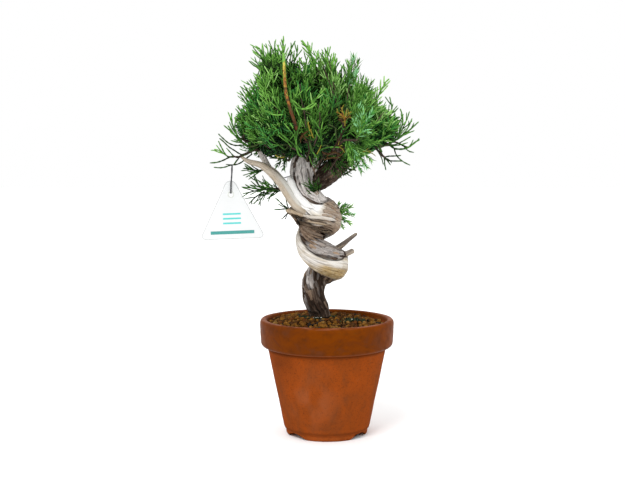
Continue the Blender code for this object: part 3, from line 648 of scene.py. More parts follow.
    white = Pile()
    for px, py in ((313.5, 317.0), (321.0, 316.5), (318.0, 319.0), (316.0, 318.2), (352.0, 317.6)):
        p = at(px, py, -8.0)
        z = soil_height(p[0], p[1]) + 1.6
        v = small[0] * rng.uniform(0.28, 0.62) * rng.uniform((0.7, 0.7, 0.5), (1.3, 1.2, 0.9)) * (1 + 0.15 * noise(small[0] * 2 + px, 2))[:, None]
        white.add(v + (p[0], -8.0 + rng.normal(0, 0.8), z), tris=small[1])
    s = Shader("pumice_white", rough=0.85)
    s.colour(s.ramp(s.noise(s.place(), 2500.0), (0.35, (0.42, 0.40, 0.36)), (0.6, (0.75, 0.74, 0.70))))
    piece("soil_pumice", white, [s.mat])


# ================================================================ the trunk
def trunk_rows():
    rows = list(LOWER_STEM)
    quarters = len(COIL_HEIGHT) - 1
    for i, (height, thick) in enumerate(spline(list(zip(COIL_HEIGHT, COIL_THICK)), 3)):
        turn = i / 12
        a = -TAU * turn
        axis = COIL_AXIS_START + (COIL_AXIS_END - COIL_AXIS_START) * turn * 4 / quarters
        rows.append((axis + COIL_RADIUS * math.cos(a), COIL_RADIUS * math.sin(a) * 1.04, height, thick))
    return rows + list(UPPER_STEM)


# for each row of the trunk's line: bearing of its outer side, in degrees
BEARING = [180, 180, 172, 140, 90] + [-30.0 * i for i in range(16)] + [-455, -458, -460, -462, -464]
# edges of the bare wood round the trunk, in degrees from its outer side: row, lower, upper
BARE = ((0, -78, -34), (1.5, -80, -14), (2.6, -82, 10), (4, -95, 16), (5.5, -112, 30), (6.3, -118, 24), (7, -122, 12),
        (7.6, -124, 6), (8.4, -124, 6), (9, -122, 14), (9.8, -116, 28), (10.6, -112, 46), (11.6, -110, 66),
        (12.6, -108, 78), (13.4, -110, 60), (14.4, -114, 30), (16, -118, 24), (17.2, -122, 44), (18.4, -126, 54), (19.1, -128, 54),
        (19.5, -128, 54), (19.9, -127, 48), (20.3, -124, 24), (20.8, -118, 4), (21.3, -116, -14), (22, -116, -30),
        (22.5, -112, -40), (22.9, -102, -60), (23.2, -92, -84))
# cracks and the lines between strands: half-width in degrees, depth, then row and bearing along each
CRACKS = (
    (5.0, 1.2, (19.6, 58), (19.9, 44), (20.2, 26), (20.6, 6), (21, -10), (21.4, -24), (22, -35), (22.8, -46), (23.6, -54)),
    (3.5, 0.8, (20.3, 42), (20.6, 26), (21, 10), (21.4, -4), (22, -16), (22.8, -22)),
    (3.0, 0.8, (20.6, 48), (21.1, 28), (21.6, 12), (22.2, 2), (23.2, -4)),
    (3.0, 0.6, (21.2, 46), (21.9, 26), (22.6, 18), (23.6, 14)),
    (3.5, 0.8, (22.2, -28), (23, -30), (23.8, -35)),
    (2.6, 0.6, (21.9, 50), (22.8, 40), (23.8, 33)),
    (3.0, 0.6, (21.6, 74), (22.6, 66), (23.6, 60)),
    (3.0, 0.6, (21.0, 96), (22.2, 92), (23.6, 84)),
    (4.0, 1.0, (17.9, -36), (18.4, -37), (19, -42), (19.8, -50), (20.6, -62)),
    (2.6, 0.6, (18.2, -45), (18.7, -47), (19.4, -54), (20.0, -62)),
    (4.2, 1.1, (17.7, -56), (18.5, -58), (19.4, -64), (20.2, -74), (20.9, -86)),
    (4.6, 1.2, (17.4, -72), (18.0, -75), (18.8, -80), (19.6, -88), (20.4, -96)),
    (5.4, 1.3, (16.8, -88), (17.4, -91), (18.2, -96), (19.2, -104), (20.0, -110)),
    (5.0, 1.2, (16.2, -106), (17.8, -112), (18.8, -120), (19.6, -126)),
    (2.8, 0.7, (18.2, -18), (18.7, -20), (19.2, -26), (19.9, -36)),
    (2.0, 0.4, (17.6, -4), (18.2, -6), (18.8, -10), (19.3, -14)),
    (2.0, 0.35, (19.2, 4), (19.8, -10), (20.3, -20), (20.8, -30)),
    (1.8, 0.30, (20, -20), (20.4, -32), (20.9, -44), (21.5, -60)),
    (1.8, 0.25, (20.6, -14), (21.1, -32), (21.6, -46), (22.2, -56)),
    (2.2, 0.45, (17.6, 6), (18.4, 0), (19.0, 2), (19.5, 9)),
    (2.2, 0.45, (17.4, 26), (18.2, 22), (18.9, 28), (19.4, 40)),
    (3.0, 0.95, (5.6, 48), (6.1, 28), (6.6, 14), (7.2, 5), (7.8, 3), (8.4, 6), (9, 14), (9.7, 25)),
    (3.0, 0.8, (6.8, 28), (7.4, 17), (8.0, 16), (8.6, 20), (9.3, 31)),
    (2.6, 0.6, (6.3, 48), (7, 36), (7.8, 32), (8.6, 36), (9.5, 45)),
    (2.6, 0.6, (6.4, 60), (7.6, 48), (8.6, 50), (9.7, 58)),
    (3.0, 0.8, (6.0, 80), (7.4, 70), (8.8, 72), (10.0, 80)),
    (3.5, 1.0, (9.4, 26), (9.8, 32), (10.5, 41)),
    (2.0, 0.30, (6.8, -20), (8, -22), (8.8, -18), (9.7, -10)),
    (2.0, 0.35, (6.2, -40), (7.4, -44), (8.4, -42), (9.3, -34)),
    (2.4, 0.40, (6.4, -60), (7.6, -64), (8.7, -60)),
    (2.2, 0.40, (9.7, -6), (10.4, 6), (11.2, 20), (12.1, 31)),
    (3.0, 0.8, (10.7, 35), (11.4, 42), (12.4, 45)),
    (3.0, 0.8, (9.7, 45), (10.4, 52), (11.4, 58), (12.6, 61)),
    (3.4, 0.8, (9.9, 65), (10.8, 72), (11.8, 80), (13.0, 85)),
    (3.4, 0.8, (10.3, 87), (11.4, 96), (12.4, 104), (13.6, 111)),
    (3.4, 0.8, (11.0, 112), (12.2, 124), (13.4, 132), (14.6, 138)),
    (3.0, 0.7, (0.5, 44), (1.6, 48), (2.6, 54), (3.6, 61)),
    (3.0, 0.7, (0.3, 72), (1.4, 72), (2.4, 74), (3.6, 79)),
    (3.4, 0.9, (0.5, 98), (1.6, 96), (2.6, 98), (3.8, 105)),
    (3.0, 0.7, (1.0, 120), (2.2, 122), (3.4, 129)),
    (3.0, 0.6, (0.3, 140), (1.4, 146), (2.6, 151)),
    (3.0, 0.7, (0.6, -160), (1.8, -150), (3.0, -140)),
    (3.0, 0.7, (0.4, -110), (1.8, -104), (3.2, -100)),
)
# where a tone lies on the trunk: name, strength, rows, bearings, softness in rows and in degrees
TONES = (
    ("white", 1.00, 20.0, 24.0, -124, -4, 0.5, 14), ("white", 1.00, 19.75, 20.4, -24, 40, 0.22, 10),
    ("white", 0.28, 17.8, 19.4, -34, -2, 0.6, 14), ("white", 0.30, 7.9, 9.8, -40, -2, 0.5, 14),
    ("white", 0.45, 5.9, 7.5, -20, 12, 0.5, 10), ("white", 0.25, 9.6, 12.6, -50, 30, 0.6, 14),
    ("gold", 1.00, 5.0, 7.9, -96, -26, 0.6, 12), ("gold", 0.60, 7.6, 9.0, -96, -48, 0.5, 12),
    ("tan", 1.00, 15.6, 20.2, -130, -46, 0.6, 14), ("tan", 0.60, 15.8, 18.4, -56, 2, 0.6, 14),
    ("ruddy", 1.00, 16.0, 19.45, -6, 70, 0.22, 9), ("ruddy", 0.62, 16.0, 19.2, -56, 0, 0.35, 12),
    ("shade", 0.26, 18.0, 19.9, -132, -44, 0.6, 14), ("tan", 0.80, -1.0, 4.0, -90, 20, 0.6, 10),
    ("grey", 1.00, 19.7, 26.0, -180, 180, 0.4, 10), ("grey", 0.50, 6.2, 9.5, 15, 60, 0.4, 7),
    ("grey", 0.35, 6.0, 9.8, 60, 100, 0.6, 12), ("grey", 0.42, 1.3, 3.6, 28, 56, 0.5, 8),
    ("grey", 0.85, 2.5, 4.1, 84, 114, 0.4, 8), ("grey", 0.30, 17.4, 19.5, 56, 100, 0.3, 10),
    ("shade", 0.50, 15.0, 19.4, -132, -92, 0.8, 16), ("shade", 0.62, 0.1, 3.3, 74, 178, 0.5, 12), ("shade", 0.30, 0.1, 2.0, 30, 90, 0.5, 12),
    ("shade", 0.34, 10.2, 15.6, -80, 56, 0.8, 14), ("shade", 0.60, 9.8, 15.0, 62, 180, 0.8, 14), ("shade", 0.50, 14.0, 16.6, -180, 180, 0.8, 10),
)


def wood_material(name, white, cream, gold, tan, bark_dark, bark_mid, bark_grey):
    """Bark and bare wood on one mesh, told apart by what its points carry."""
    s = Shader(name, rough=0.85, spec=0.16)
    along, round_ = s.attr("along"), s.attr("round")
    broad = s.noise(s.pack(round_, s.maths("MULTIPLY", along, 0.10), 0.0), 0.85, 4.0, 0.62, 0.5)
    fibre = s.noise(s.pack(round_, s.maths("MULTIPLY", along, 0.09), 5.0), 2.2, 4.0, 0.62, 0.35)
    hair = s.noise(s.pack(round_, s.maths("MULTIPLY", along, 0.05), 3.0), 8.0, 3.0, 0.6, 0.2)
    patch = s.noise(s.pack(round_, s.maths("MULTIPLY", along, 0.45), 7.0), 0.32, 4.0, 0.6, 0.4)
    flake = s.noise(s.pack(round_, s.maths("MULTIPLY", along, 0.40), 11.0), 0.9, 4.0, 0.65, 0.8)

    def share(fac, low, high, amount):
        return s.maths("MULTIPLY", s.ramp(fac, (low, 1.0), (high, 0.0)), amount)

    # bare wood
    deep, pale = tuple(c * 0.50 for c in gold), tuple(c * 0.55 + 0.30 * k for c, k in zip(gold, (1.0, 0.9, 0.62)))
    wood = s.mix(s.attr("gold"), s.mix(s.maths("MULTIPLY", s.ramp(patch, (0.38, 0.0), (0.62, 1.0)), 0.55), cream, white),
                 s.ramp(flake, (0.36, deep), (0.47, gold), (0.64, pale)))
    wood = s.mix(s.attr("tan"), wood, tan)
    wood = s.mix(s.attr("ruddy"), wood, s.ramp(flake, (0.40, (0.13, 0.075, 0.045)), (0.52, (0.31, 0.20, 0.125)), (0.64, (0.46, 0.35, 0.255))))
    wood = s.mix(s.attr("white"), wood, white)
    calm = s.maths("SUBTRACT", 1.0, s.maths("MULTIPLY", s.attr("white"), 0.72))
    wood = s.mix(s.maths("MULTIPLY", share(broad, 0.38, 0.50, 0.55), calm), wood, s.mix(0.70, wood, (0.075, 0.050, 0.036)))
    wood = s.mix(s.maths("MULTIPLY", share(fibre, 0.36, 0.50, 0.42), calm), wood, s.mix(0.70, wood, (0.06, 0.038, 0.026)))
    wood = s.mix(s.maths("MULTIPLY", share(hair, 0.38, 0.52, 0.25), calm), wood, s.mix(0.6, wood, (0.10, 0.06, 0.035)))
    # bark
    bark = s.ramp(fibre, (0.30, bark_dark), (0.50, bark_mid), (0.66, tuple(c * 2.0 for c in bark_mid)))
    bark = s.mix(share(broad, 0.44, 0.58, 0.6), bark, s.mix(0.62, bark, bark_dark))
    blotch = s.noise(s.pack(round_, s.maths("MULTIPLY", along, 0.45), 13.0), 0.17, 4.0, 0.62, 0.9)
    bark = s.mix(s.ramp(blotch, (0.53, 0.0), (0.63, 0.90)), bark, s.mix(0.66, bark, (0.26, 0.20, 0.155)))
    bark = s.mix(share(blotch, 0.38, 0.50, 0.75), bark, s.mix(0.75, bark, bark_dark))
    grey = s.ramp(fibre, (0.28, tuple(c * 0.26 for c in bark_grey)), (0.42, tuple(c * 0.70 for c in bark_grey)),
                  (0.56, bark_grey), (0.70, tuple(min(1, c * 1.45) for c in bark_grey)))
    grey = s.mix(share(broad, 0.38, 0.50, 0.42), grey, s.mix(0.75, grey, (0.050, 0.036, 0.028)))
    grey = s.mix(s.maths("MULTIPLY", s.ramp(patch, (0.50, 0.0), (0.62, 1.0)), 0.55), grey, (0.46, 0.40, 0.37))
    bark = s.mix(s.attr("grey"), bark, grey)
    bark = s.mix(s.maths("MULTIPLY", s.ramp(flake, (0.54, 0.0), (0.64, 1.0)), 0.30), bark, s.mix(0.5, bark, (0.26, 0.19, 0.14)))
    bark = s.mix(share(flake, 0.36, 0.46, 0.60), bark, s.mix(0.65, bark, (0.010, 0.007, 0.005)))
    c = s.mix(s.attr("wood"), bark, wood)
    c = s.mix(s.attr("shade"), c, s.mix(0.78, c, (0.022, 0.012, 0.008)))
    # crack: painted shade in cracks, furrows and grooves, round the bark plates and behind the strands
    c = s.mix(s.attr("crack"), c, (0.010, 0.007, 0.005))
    s.colour(c)
    s.rough(s.ramp(s.attr("wood"), (0.0, 0.92), (1.0, 0.66)))
    h = s.maths("ADD", s.maths("MULTIPLY", fibre, 0.8), s.maths("MULTIPLY", hair, 0.3))
    s.bump(s.maths("ADD", h, s.maths("MULTIPLY", broad, 1.2)), 0.6, 0.0005)
    return s.mat


def fine_edge(phi, s):
    return layers(np.stack([np.cos(phi) * 3 + 0 * s, np.sin(phi) * 3 + 0 * s, s * 0.12], -1), 2, 91)


def bark_scales(pile, xyz, along, around, likely, grey, shade, rng, count, kind="bark"):
    """Loose plates of bark lying along the grain of a gridded surface."""
    n, sides = xyz.shape[:2]
    long_step = np.linalg.norm(np.gradient(xyz, axis=0), axis=2)
    wide_step = np.linalg.norm(np.roll(xyz, -1, 1) - xyz, axis=2)
    nrm = np.cross(np.roll(xyz, -1, 1) - np.roll(xyz, 1, 1), np.gradient(xyz, axis=0))
    nrm = unit(nrm * np.sign(np.sum(nrm * (xyz - xyz.mean(1, keepdims=True)), -1, keepdims=True)))
    p = (likely * long_step * wide_step).ravel()
    pick = rng.choice(len(p), count, p=p / p.sum())
    a, b = np.linspace(-1, 1, 9)[:, None], np.linspace(-1, 1, 6)[None, :]

    def sample(grid, r, c):
        r = np.clip(r, 0, n - 1.001)
        i, j = np.floor(r).astype(int), np.floor(c).astype(int)
        fr, fc = (r - i), (c - j)
        if grid.ndim == 3:
            fr, fc = fr[..., None], fc[..., None]
        j0, j1 = j % sides, (j + 1) % sides
        return ((grid[i, j0] * (1 - fc) + grid[i, j1] * fc) * (1 - fr)
                + (grid[i + 1, j0] * (1 - fc) + grid[i + 1, j1] * fc) * fr)

    for k in pick:
        i, j = divmod(int(k), sides)
        if i < 3 or i > n - 4:
            continue
        big = rng.random() ** 1.5
        length, width, high = rng.uniform(5, 9) + 8 * big, rng.uniform(0.9, 1.5) + 1.2 * big, rng.uniform(0.35, 0.8)
        half_rows, half_cols = length / 2 / long_step[i, j], width / wide_step[i, j]
        slant = rng.normal(0, 0.25) * half_cols
        jag = 1 + 0.30 * noise(np.concatenate([a * 2.4 + k, 0 * a, 0 * a], 1), 5)[:, None] * np.sign(b)
        r = i + a * half_rows + 0 * b
        c = j + slant * a + b * half_cols * np.sqrt(np.clip(1 - np.abs(a) ** 2.6, 0.02, 1)) * jag
        rise = high * (1 - np.abs(b) ** 3) * (1 - np.abs(a) ** 5) - 0.18
        pos = sample(xyz, r, c) + sample(nrm, r, c) * rise[..., None]
        g, d = float(grey[i, j]), float(shade[i, j])
        roll = rng.random()
        if kind == "ruddy":
            look = dict(wood=1.0, tan=0.0, grey=0.0, ruddy=rng.uniform(0.5, 1.0), shade=rng.uniform(0.0, 0.25))
        elif roll < (0.13 if g < 0.5 else 0.16):
            look = dict(wood=1.0, tan=1.0, grey=0.0, ruddy=rng.uniform(0, 0.5), shade=rng.uniform(0.15, 0.45) * (1 - 0.8 * g) + 0.6 * d)
        elif roll < (0.48 if g < 0.5 else 0.32):
            look = dict(wood=0.0, tan=0.0, grey=0.0, ruddy=0.0, shade=rng.uniform(0.2, 0.6))
        elif roll < 0.75:
            look = dict(wood=0.0, tan=0.0, grey=max(g, rng.uniform(0.0, 0.26)), ruddy=0.0, shade=0.6 * d)
        else:
            look = dict(wood=0.0, tan=0.0, grey=min(1.0, g * 1.2), ruddy=0.0, shade=d)
        # painted shade round the rim of each plate, where it lifts off the trunk
        dark = np.clip(ease(np.abs(b), 0.62, 1.0) * 0.75 + ease(np.abs(a), 0.86, 1.0) * 0.6, 0, 0.9)
        shift = rng.uniform(0, 40, 2)
        pile.add(pos.reshape(-1, 3), grid_faces(9, 6, False)[:, ::-1], along=(sample(along, r, c) + shift[0]).ravel(),
                 round=(sample(around, r, np.clip(c, 0, sides - 1.001)) + shift[1]).ravel(), gold=0.0, white=0.0,
                 crack=(dark + 0 * r).ravel(), **look)


# strands of wood standing out from the coil, seen from the front: half-width, half-thickness, look, depth of the
# first point where it lies beside the trunk, then points in tenths of a picture pixel from (280, 155)
LOOKS = {
    "cream": dict(wood=1.0, gold=0.0, tan=0.25, white=0.2, grey=0.0, shade=0.0, ruddy=0.0),
    "golden": dict(wood=1.0, gold=0.55, tan=0.2, white=0.0, grey=0.0, shade=0.05, ruddy=0.25),
    "tan": dict(wood=1.0, gold=0.0, tan=0.9, white=0.0, grey=0.0, shade=0.12, ruddy=0.3),
    "ruddy": dict(wood=1.0, gold=0.0, tan=0.2, white=0.0, grey=0.0, shade=0.22, ruddy=1.0),
    "brown": dict(wood=1.0, gold=0.0, tan=0.6, white=0.0, grey=0.0, shade=0.58, ruddy=0.6),
    "umber": dict(wood=1.0, gold=0.0, tan=0.4, white=0.0, grey=0.0, shade=0.55, ruddy=0.9),
    "dark": dict(wood=0.0, gold=0.0, tan=0.0, white=0.0, grey=0.05, shade=0.6, ruddy=0.0),
    "white": dict(wood=1.0, gold=0.0, tan=0.0, white=1.0, grey=0.0, shade=0.0, ruddy=0.0),
    "pale": dict(wood=0.0, gold=0.0, tan=0.0, white=0.0, grey=1.0, shade=0.0, ruddy=0.0),
    "dusk": dict(wood=0.0, gold=0.0, tan=0.0, white=0.0, grey=0.25, shade=0.25, ruddy=0.0),
}
STRANDS = (
    (1.5, 0.9, "cream", -12, (196, 588), (250, 606), (320, 620), (410, 626), (500, 640), (566, 656)),
    (1.7, 1.3, "golden", -13, (60, 556), (110, 562), (160, 576), (214, 594), (260, 610)),
    (2.2, 1.5, "brown", -10, (70, 562), (112, 580), (166, 602), (224, 624), (290, 642)),
    (1.2, 1.0, "ruddy", -12, (84, 572), (130, 590), (180, 610), (234, 632), (290, 648)),
    (1.5, 1.0, "golden", -11, (92, 588), (134, 606), (190, 626), (260, 650), (340, 672), (420, 686), (500, 694)),
    (1.2, 0.8, "brown", -9, (110, 606), (160, 636), (226, 668), (300, 692), (370, 706), (450, 716)),
    (1.5, 1.0, "tan", -9, (128, 624), (180, 662), (244, 692), (320, 716), (396, 734), (470, 742)),
    (0.9, 0.7, "cream", -10, (176, 634), (240, 664), (310, 688), (380, 700), (440, 706)),
    (1.4, 1.0, "umber", -8, (142, 646), (188, 684), (240, 716), (310, 744), (384, 766), (440, 776)),
    (1.5, 1.0, "brown", -6, (158, 662), (200, 700), (250, 740), (316, 776), (380, 800), (430, 812)),
    (1.0, 0.8, "umber", -6, (186, 690), (226, 732), (276, 778), (334, 812), (400, 832), (436, 838)),
    (1.3, 0.9, "umber", -4, (196, 706), (232, 760), (284, 812), (340, 848), (390, 864)),
    (0.8, 0.6, "golden", -4, (222, 742), (262, 792), (312, 834), (362, 862)),
    (1.1, 0.8, "umber", -4, (214, 760), (246, 812), (290, 856), (340, 886), (380, 896)),
    (0.7, 0.6, "tan", -4, (240, 800), (280, 850), (330, 884), (372, 902)),
    (0.9, 0.6, "ruddy", -14, (300, 752), (356, 778), (410, 800), (452, 806)),
    (0.8, 0.6, "golden", -14, (320, 730), (390, 752), (450, 766), (510, 764)),
    # the white web below the dead branch, and the upper trunk
    (3.1, 1.9, "white", -12.5, (84, 218), (96, 250), (122, 300), (148, 350), (180, 400), (225, 450), (280, 500), (345, 530)),
    (1.6, 1.3, "white", -14.5, (132, 372), (164, 430), (200, 478), (250, 522), (310, 556)),
    (0.9, 0.7, "pale", -8, (150, 196), (168, 262), (196, 330), (240, 394), (300, 440), (372, 468), (440, 480)),
    (1.25, 0.9, "dark", -8, (138, 170), (156, 252), (182, 324), (223, 392), (281, 444), (350, 480), (432, 497)),
    (0.9, 0.6, "pale", -8, (204, 170), (214, 250), (236, 320), (276, 376), (330, 420), (396, 448)),
    (0.8, 0.6, "pale", -8, (236, 150), (240, 220), (256, 290), (288, 346), (336, 392), (390, 424)),
    (0.8, 0.7, "dusk", -8, (270, 130), (286, 190), (296, 250), (300, 290)),
    (0.8, 0.6, "tan", -8, (320, 110), (340, 160), (352, 210), (350, 250)),
)


def grow_strands(pile, xyz, surface):
    flat, out = xyz.reshape(-1, 3), surface.reshape(-1, 3)
    seen = picture(flat)
    for n, (wide, high, look, depth, *points) in enumerate(STRANDS):
        way = spline(np.array(points, float) / 10 + (280, 155), 10)
        deep, turned, on = [], [], []
        for p in way:
            gap = np.hypot(*(seen - p).T)
            near = np.where(gap < 1.1)[0]
            on.append(len(near) > 0)
            if not len(near):
                near = np.where(gap < gap.min() + 0.6)[0]
            best = near[np.argmin(flat[near, 1])]
            deep.append(flat[best, 1])
            turned.append(out[best])
        deep, turned, on = np.array(deep), np.array(turned), np.array(on)
        if look == "white":
            turned = unit(0.3 * turned + np.array((-0.08, -0.86, 0.40)))
            deep = np.minimum(deep, np.linspace(depth, -15.5, len(deep)))
        first = int(np.argmax(on))
        if first:                                          # it starts beside the trunk
            t = np.linspace(0, 1, first + 1)
            deep[:first + 1] = depth + (deep[first] - depth) * t
            turned[:first] = unit(np.array((-0.35, -0.85, 0.1)) + turned[first] * t[:-1, None])
        for _ in range(6):
            deep[1:-1] = 0.25 * deep[:-2] + 0.5 * deep[1:-1] + 0.25 * deep[2:]
            turned[1:-1] = unit(0.25 * turned[:-2] + 0.5 * turned[1:-1] + 0.25 * turned[2:])
        line = np.array([at(p[0], p[1], d) for p, d in zip(way, deep)]) + turned * high * 0.15
        keep = np.concatenate([[0], np.cumsum(np.linalg.norm(np.diff(line, axis=0), axis=1))])
        s = np.linspace(0, keep[-1], max(6, int(keep[-1] / 0.8)))
        line = np.stack([np.interp(s, keep, line[:, i]) for i in range(3)], 1)
        normal = np.stack([np.interp(s, keep, turned[:, i]) for i in range(3)], 1)
        for _ in range(3):
            line[1:-1] = 0.25 * line[:-2] + 0.5 * line[1:-1] + 0.25 * line[2:]
        tang = unit(np.gradient(line, axis=0))
        normal = unit(normal - tang * np.sum(normal * tang, 1)[:, None])
        side = np.cross(tang, normal)
        m, k = len(line), 10
        a = (np.arange(k) * TAU / k)[None, :]
        t = (s / s[-1])[:, None]
        taper = np.clip(ease(t, -0.06, 0.14) * ease(1 - t, -0.05, 0.22), 0.12, 1)
        rough = 1 + 0.22 * layers(np.stack([np.cos(a) * 1.6 + 0 * t, np.sin(a) * 1.6 + 0 * t, s[:, None] * 0.16 + n * 7 + 0 * a], -1), 3, 61)
        xyz_ = (line[:, None] + (np.cos(a) * wide * taper * rough)[..., None] * side[:, None]
                + (np.sin(a) * high * taper * rough)[..., None] * normal[:, None])
        caps = np.array([line[0], line[-1]])
        ends = [(i, (i + 1) % k) for i in range(k)]
        tris = [(b, c, m * k) for c, b in ends] + [((m - 1) * k + c, (m - 1) * k + b, m * k + 1) for c, b in ends]

        def carry(v):
            return np.concatenate([(v + 0 * taper + 0 * a).reshape(-1), [0.0, 0.0]])

        # painted shade on the side of each strand that lies against the trunk
        pile.add(np.concatenate([xyz_.reshape(-1, 3), caps]), grid_faces(m, k), tris, along=carry(s[:, None] + n * 13.0),
                 round=carry(a * wide), crack=carry(0.85 * ease(-np.sin(a), -0.25, 0.7)), **LOOKS[look])


def build_trunk():
    rows = trunk_rows()
    coarse = spline(rows, 2)
    index = spline([(i,) for i in range(len(rows))], 2)[:, 0]
    steps = 8
    line = spline(coarse, steps)
    row = spline(index[:, None], steps)[:, 0]
    pts, rad = line[:, :3], line[:, 3]
    for _ in range(3):                                     # the doubled spline's kinks
        pts[1:-1] = 0.25 * pts[:-2] + 0.5 * pts[1:-1] + 0.25 * pts[2:]
    tang = unit(np.gradient(pts, axis=0))
    eased = np.clip(np.arange(len(pts)) / 32.0, 0, 1)[:, None]
    tang = unit(tang * eased + np.array((0, 0, 1.0)) * (1 - eased))
    step = np.linalg.norm(np.diff(pts, axis=0), axis=1)
    along = np.concatenate([[0], np.cumsum(step)])
    bearing = np.radians(np.interp(row, range(len(BEARING)), BEARING))
    for _ in range(12):
        bearing[1:-1] = 0.25 * bearing[:-2] + 0.5 * bearing[1:-1] + 0.25 * bearing[2:]
    out = np.stack([np.cos(bearing), np.sin(bearing), 0 * bearing], -1)
    out = unit(out - tang * np.sum(out * tang, 1)[:, None])
    up = np.cross(tang, out)

    sides = 136
    phi = (np.arange(sides) * TAU / sides - math.pi)[None, :]
    deg = np.degrees(phi)
    d = np.cos(phi)[..., None] * out[:, None] + np.sin(phi)[..., None] * up[:, None]
    base = rad[:, None] * (1 + 0.28 * d[..., 2] ** 2)
    s = along[:, None] + 0 * phi
    u = row[:, None] + 0 * phi

    def swirl(across, along_scale, turn, seed, octaves=3):
        """Noise drawn out along the grain, which turns slowly round the trunk."""
        a = phi - s * turn
        return layers(np.stack([np.cos(a) * across, np.sin(a) * across, s * along_scale], -1), octaves, seed)

    # where the wood is bare
    knots = np.array(BARE)
    low = np.interp(row, knots[:, 0], knots[:, 1])[:, None] + 7 * swirl(0.6, 0.12, 0, 2)
    high = np.interp(row, knots[:, 0], knots[:, 2])[:, None] + 7 * swirl(0.6, 0.12, 0, 4)
    width = 5.0
    wood = ease(deg, low - width, low + width) * ease(-deg, -high - width, -high + width)
    wood *= 1 - ease(u, 22.2, 22.8)
    edge = np.maximum(np.exp(-((deg - high) / 6.5) ** 2), np.exp(-((deg - low) / 6.5) ** 2)) * (1 - ease(u, 22.1, 22.7))

    # strands of live bark, standing proud of the wood
    strand = swirl(2.6, 0.020, 0.004, 11)
    fibre = swirl(9.0, 0.055, 0.004, 15, 3)
    fine = swirl(26.0, 0.10, 0.004, 19, 2)
    plate = layers(np.stack([np.cos(phi) * 5 + 0 * s, np.sin(phi) * 5 + 0 * s, s * 0.16], -1), 3, 23)
    ridge = 1 - np.abs(fibre) * 2.2
    bark_h = 0.55 + 0.75 * strand + 0.42 * ridge + 0.16 * fine + 0.30 * ease(plate, 0.05, 0.22)
    # bare wood: long smooth hollows, fine grain and a few deep cracks
    hollow = swirl(1.8, 0.016, 0.006, 31, 2)
    grain = swirl(20.0, 0.035, 0.006, 37, 3)
    wood_h = -0.35 + 0.75 * hollow + 0.16 * grain
    crack = np.zeros_like(u)
    for n, (half, depth, *way) in enumerate(CRACKS):
        way = np.array(way, float)
        centre = np.interp(row, way[:, 0], way[:, 1])[:, None]
        bend = 4.0 * layers(np.stack([along * 0.10, 0 * along + n * 3.7, 0 * along], -1), 3, 53)[:, None]
        thick = half * (1 + 0.45 * layers(np.stack([along * 0.14, 0 * along + n, 5 + 0 * along], -1), 2, 57)[:, None])
        fade = ease(u, way[0, 0] - 0.3, way[0, 0] + 0.35) * ease(-u, -way[-1, 0] - 0.3, -way[-1, 0] + 0.35)
        off = (deg - centre - bend + 180) % 360 - 180
        crack = np.maximum(crack, depth * fade * np.exp(-(off / thick) ** 2))
    tone = {}
    for key, strength, u0, u1, a0, a1, su, sa in TONES:
        mid, half = (a0 + a1) / 2, (a1 - a0) / 2
        off = np.abs((deg + 5 * fine_edge(phi, s) - mid + 180) % 360 - 180) if half < 170 else 0 * deg
        m = strength * ease(u, u0 - su, u0 + su) * ease(-u, -u1 - su, -u1 + su) * ease(-off, -half - sa, -half + sa)
        tone[key] = np.maximum(tone.get(key, 0.0 * u), m)
    height = bark_h * (1 - wood) + wood_h * wood - 0.5 * edge - 1.25 * crack

    # the nose of each turn swells a little, and the foot flares
    t = np.clip(1 - (s - 0.0) / 9.0, 0, 1)
    flare = 0.9 * t ** 1.6 * (0.3 + 0.7 * np.cos(4 * phi + 0.6)) - 1.5 * ease(30 - s, 0, 13) - 0.7 * t
    radius = base + height * (0.55 + 0.45 * ease(s, 0, 12)) + flare
    radius *= 1 + 0.025 * swirl(0.9, 0.05, 0, 71, 2)
    radius -= 3.6 * ease(u, 20.9, 21.7) * ease(-u, -23.4, -22.4) * ease(-np.abs(deg - 92), -62, -28)
    web = ease(u, 20.3, 21.4) * ease(-u, -22.6, -21.8)
    radius += 4.4 * web * np.exp(-((deg + 92) / 27) ** 2) - 1.0 * web * np.exp(-((deg + 40) / 16) ** 2)
    end = ease(-row, -25.0, -24.2)[:, None]
    radius = radius * (0.4 + 0.6 * end)
    xyz = pts[:, None] + d * radius[..., None]
    xyz[:, :, 2] = np.where(xyz[:, :, 2] < GROUND - 0.2, GROUND - 0.2 + 0 * xyz[:, :, 2], xyz[:, :, 2])

    gold, tan, white, grey, shade, ruddy = (tone[k] for k in ("gold", "tan", "white", "grey", "shade", "ruddy"))
    # painted shade: the furrows between bark ridges, the grooves at the edges of the bare wood and the cracks are
    # darkened, through the crack attribute
    gap = ease(-ridge, -0.10, 0.55) * (1 - wood) * (0.55 - 0.25 * ease(u, 20, 21))
    dark = np.clip(np.maximum(np.maximum(crack * 1.05, edge * 0.45), gap), 0, 1)

    pile = Pile()
    flat = xyz.reshape(-1, 3)
    n = len(pts)
    caps = np.array([pts[0] * (1, 1, 0) + (0, 0, GROUND - 0.2), pts[-1] + tang[-1] * 0.5])
    ends = [(k, (k + 1) % sides) for k in range(sides)]
    tris = [(b, a, n * sides) for a, b in ends] + [((n - 1) * sides + a, (n - 1) * sides + b, n * sides + 1) for a, b in ends]

    def carry(v):
        return np.concatenate([np.asarray(v, float).reshape(-1), [0.0, 0.0]])

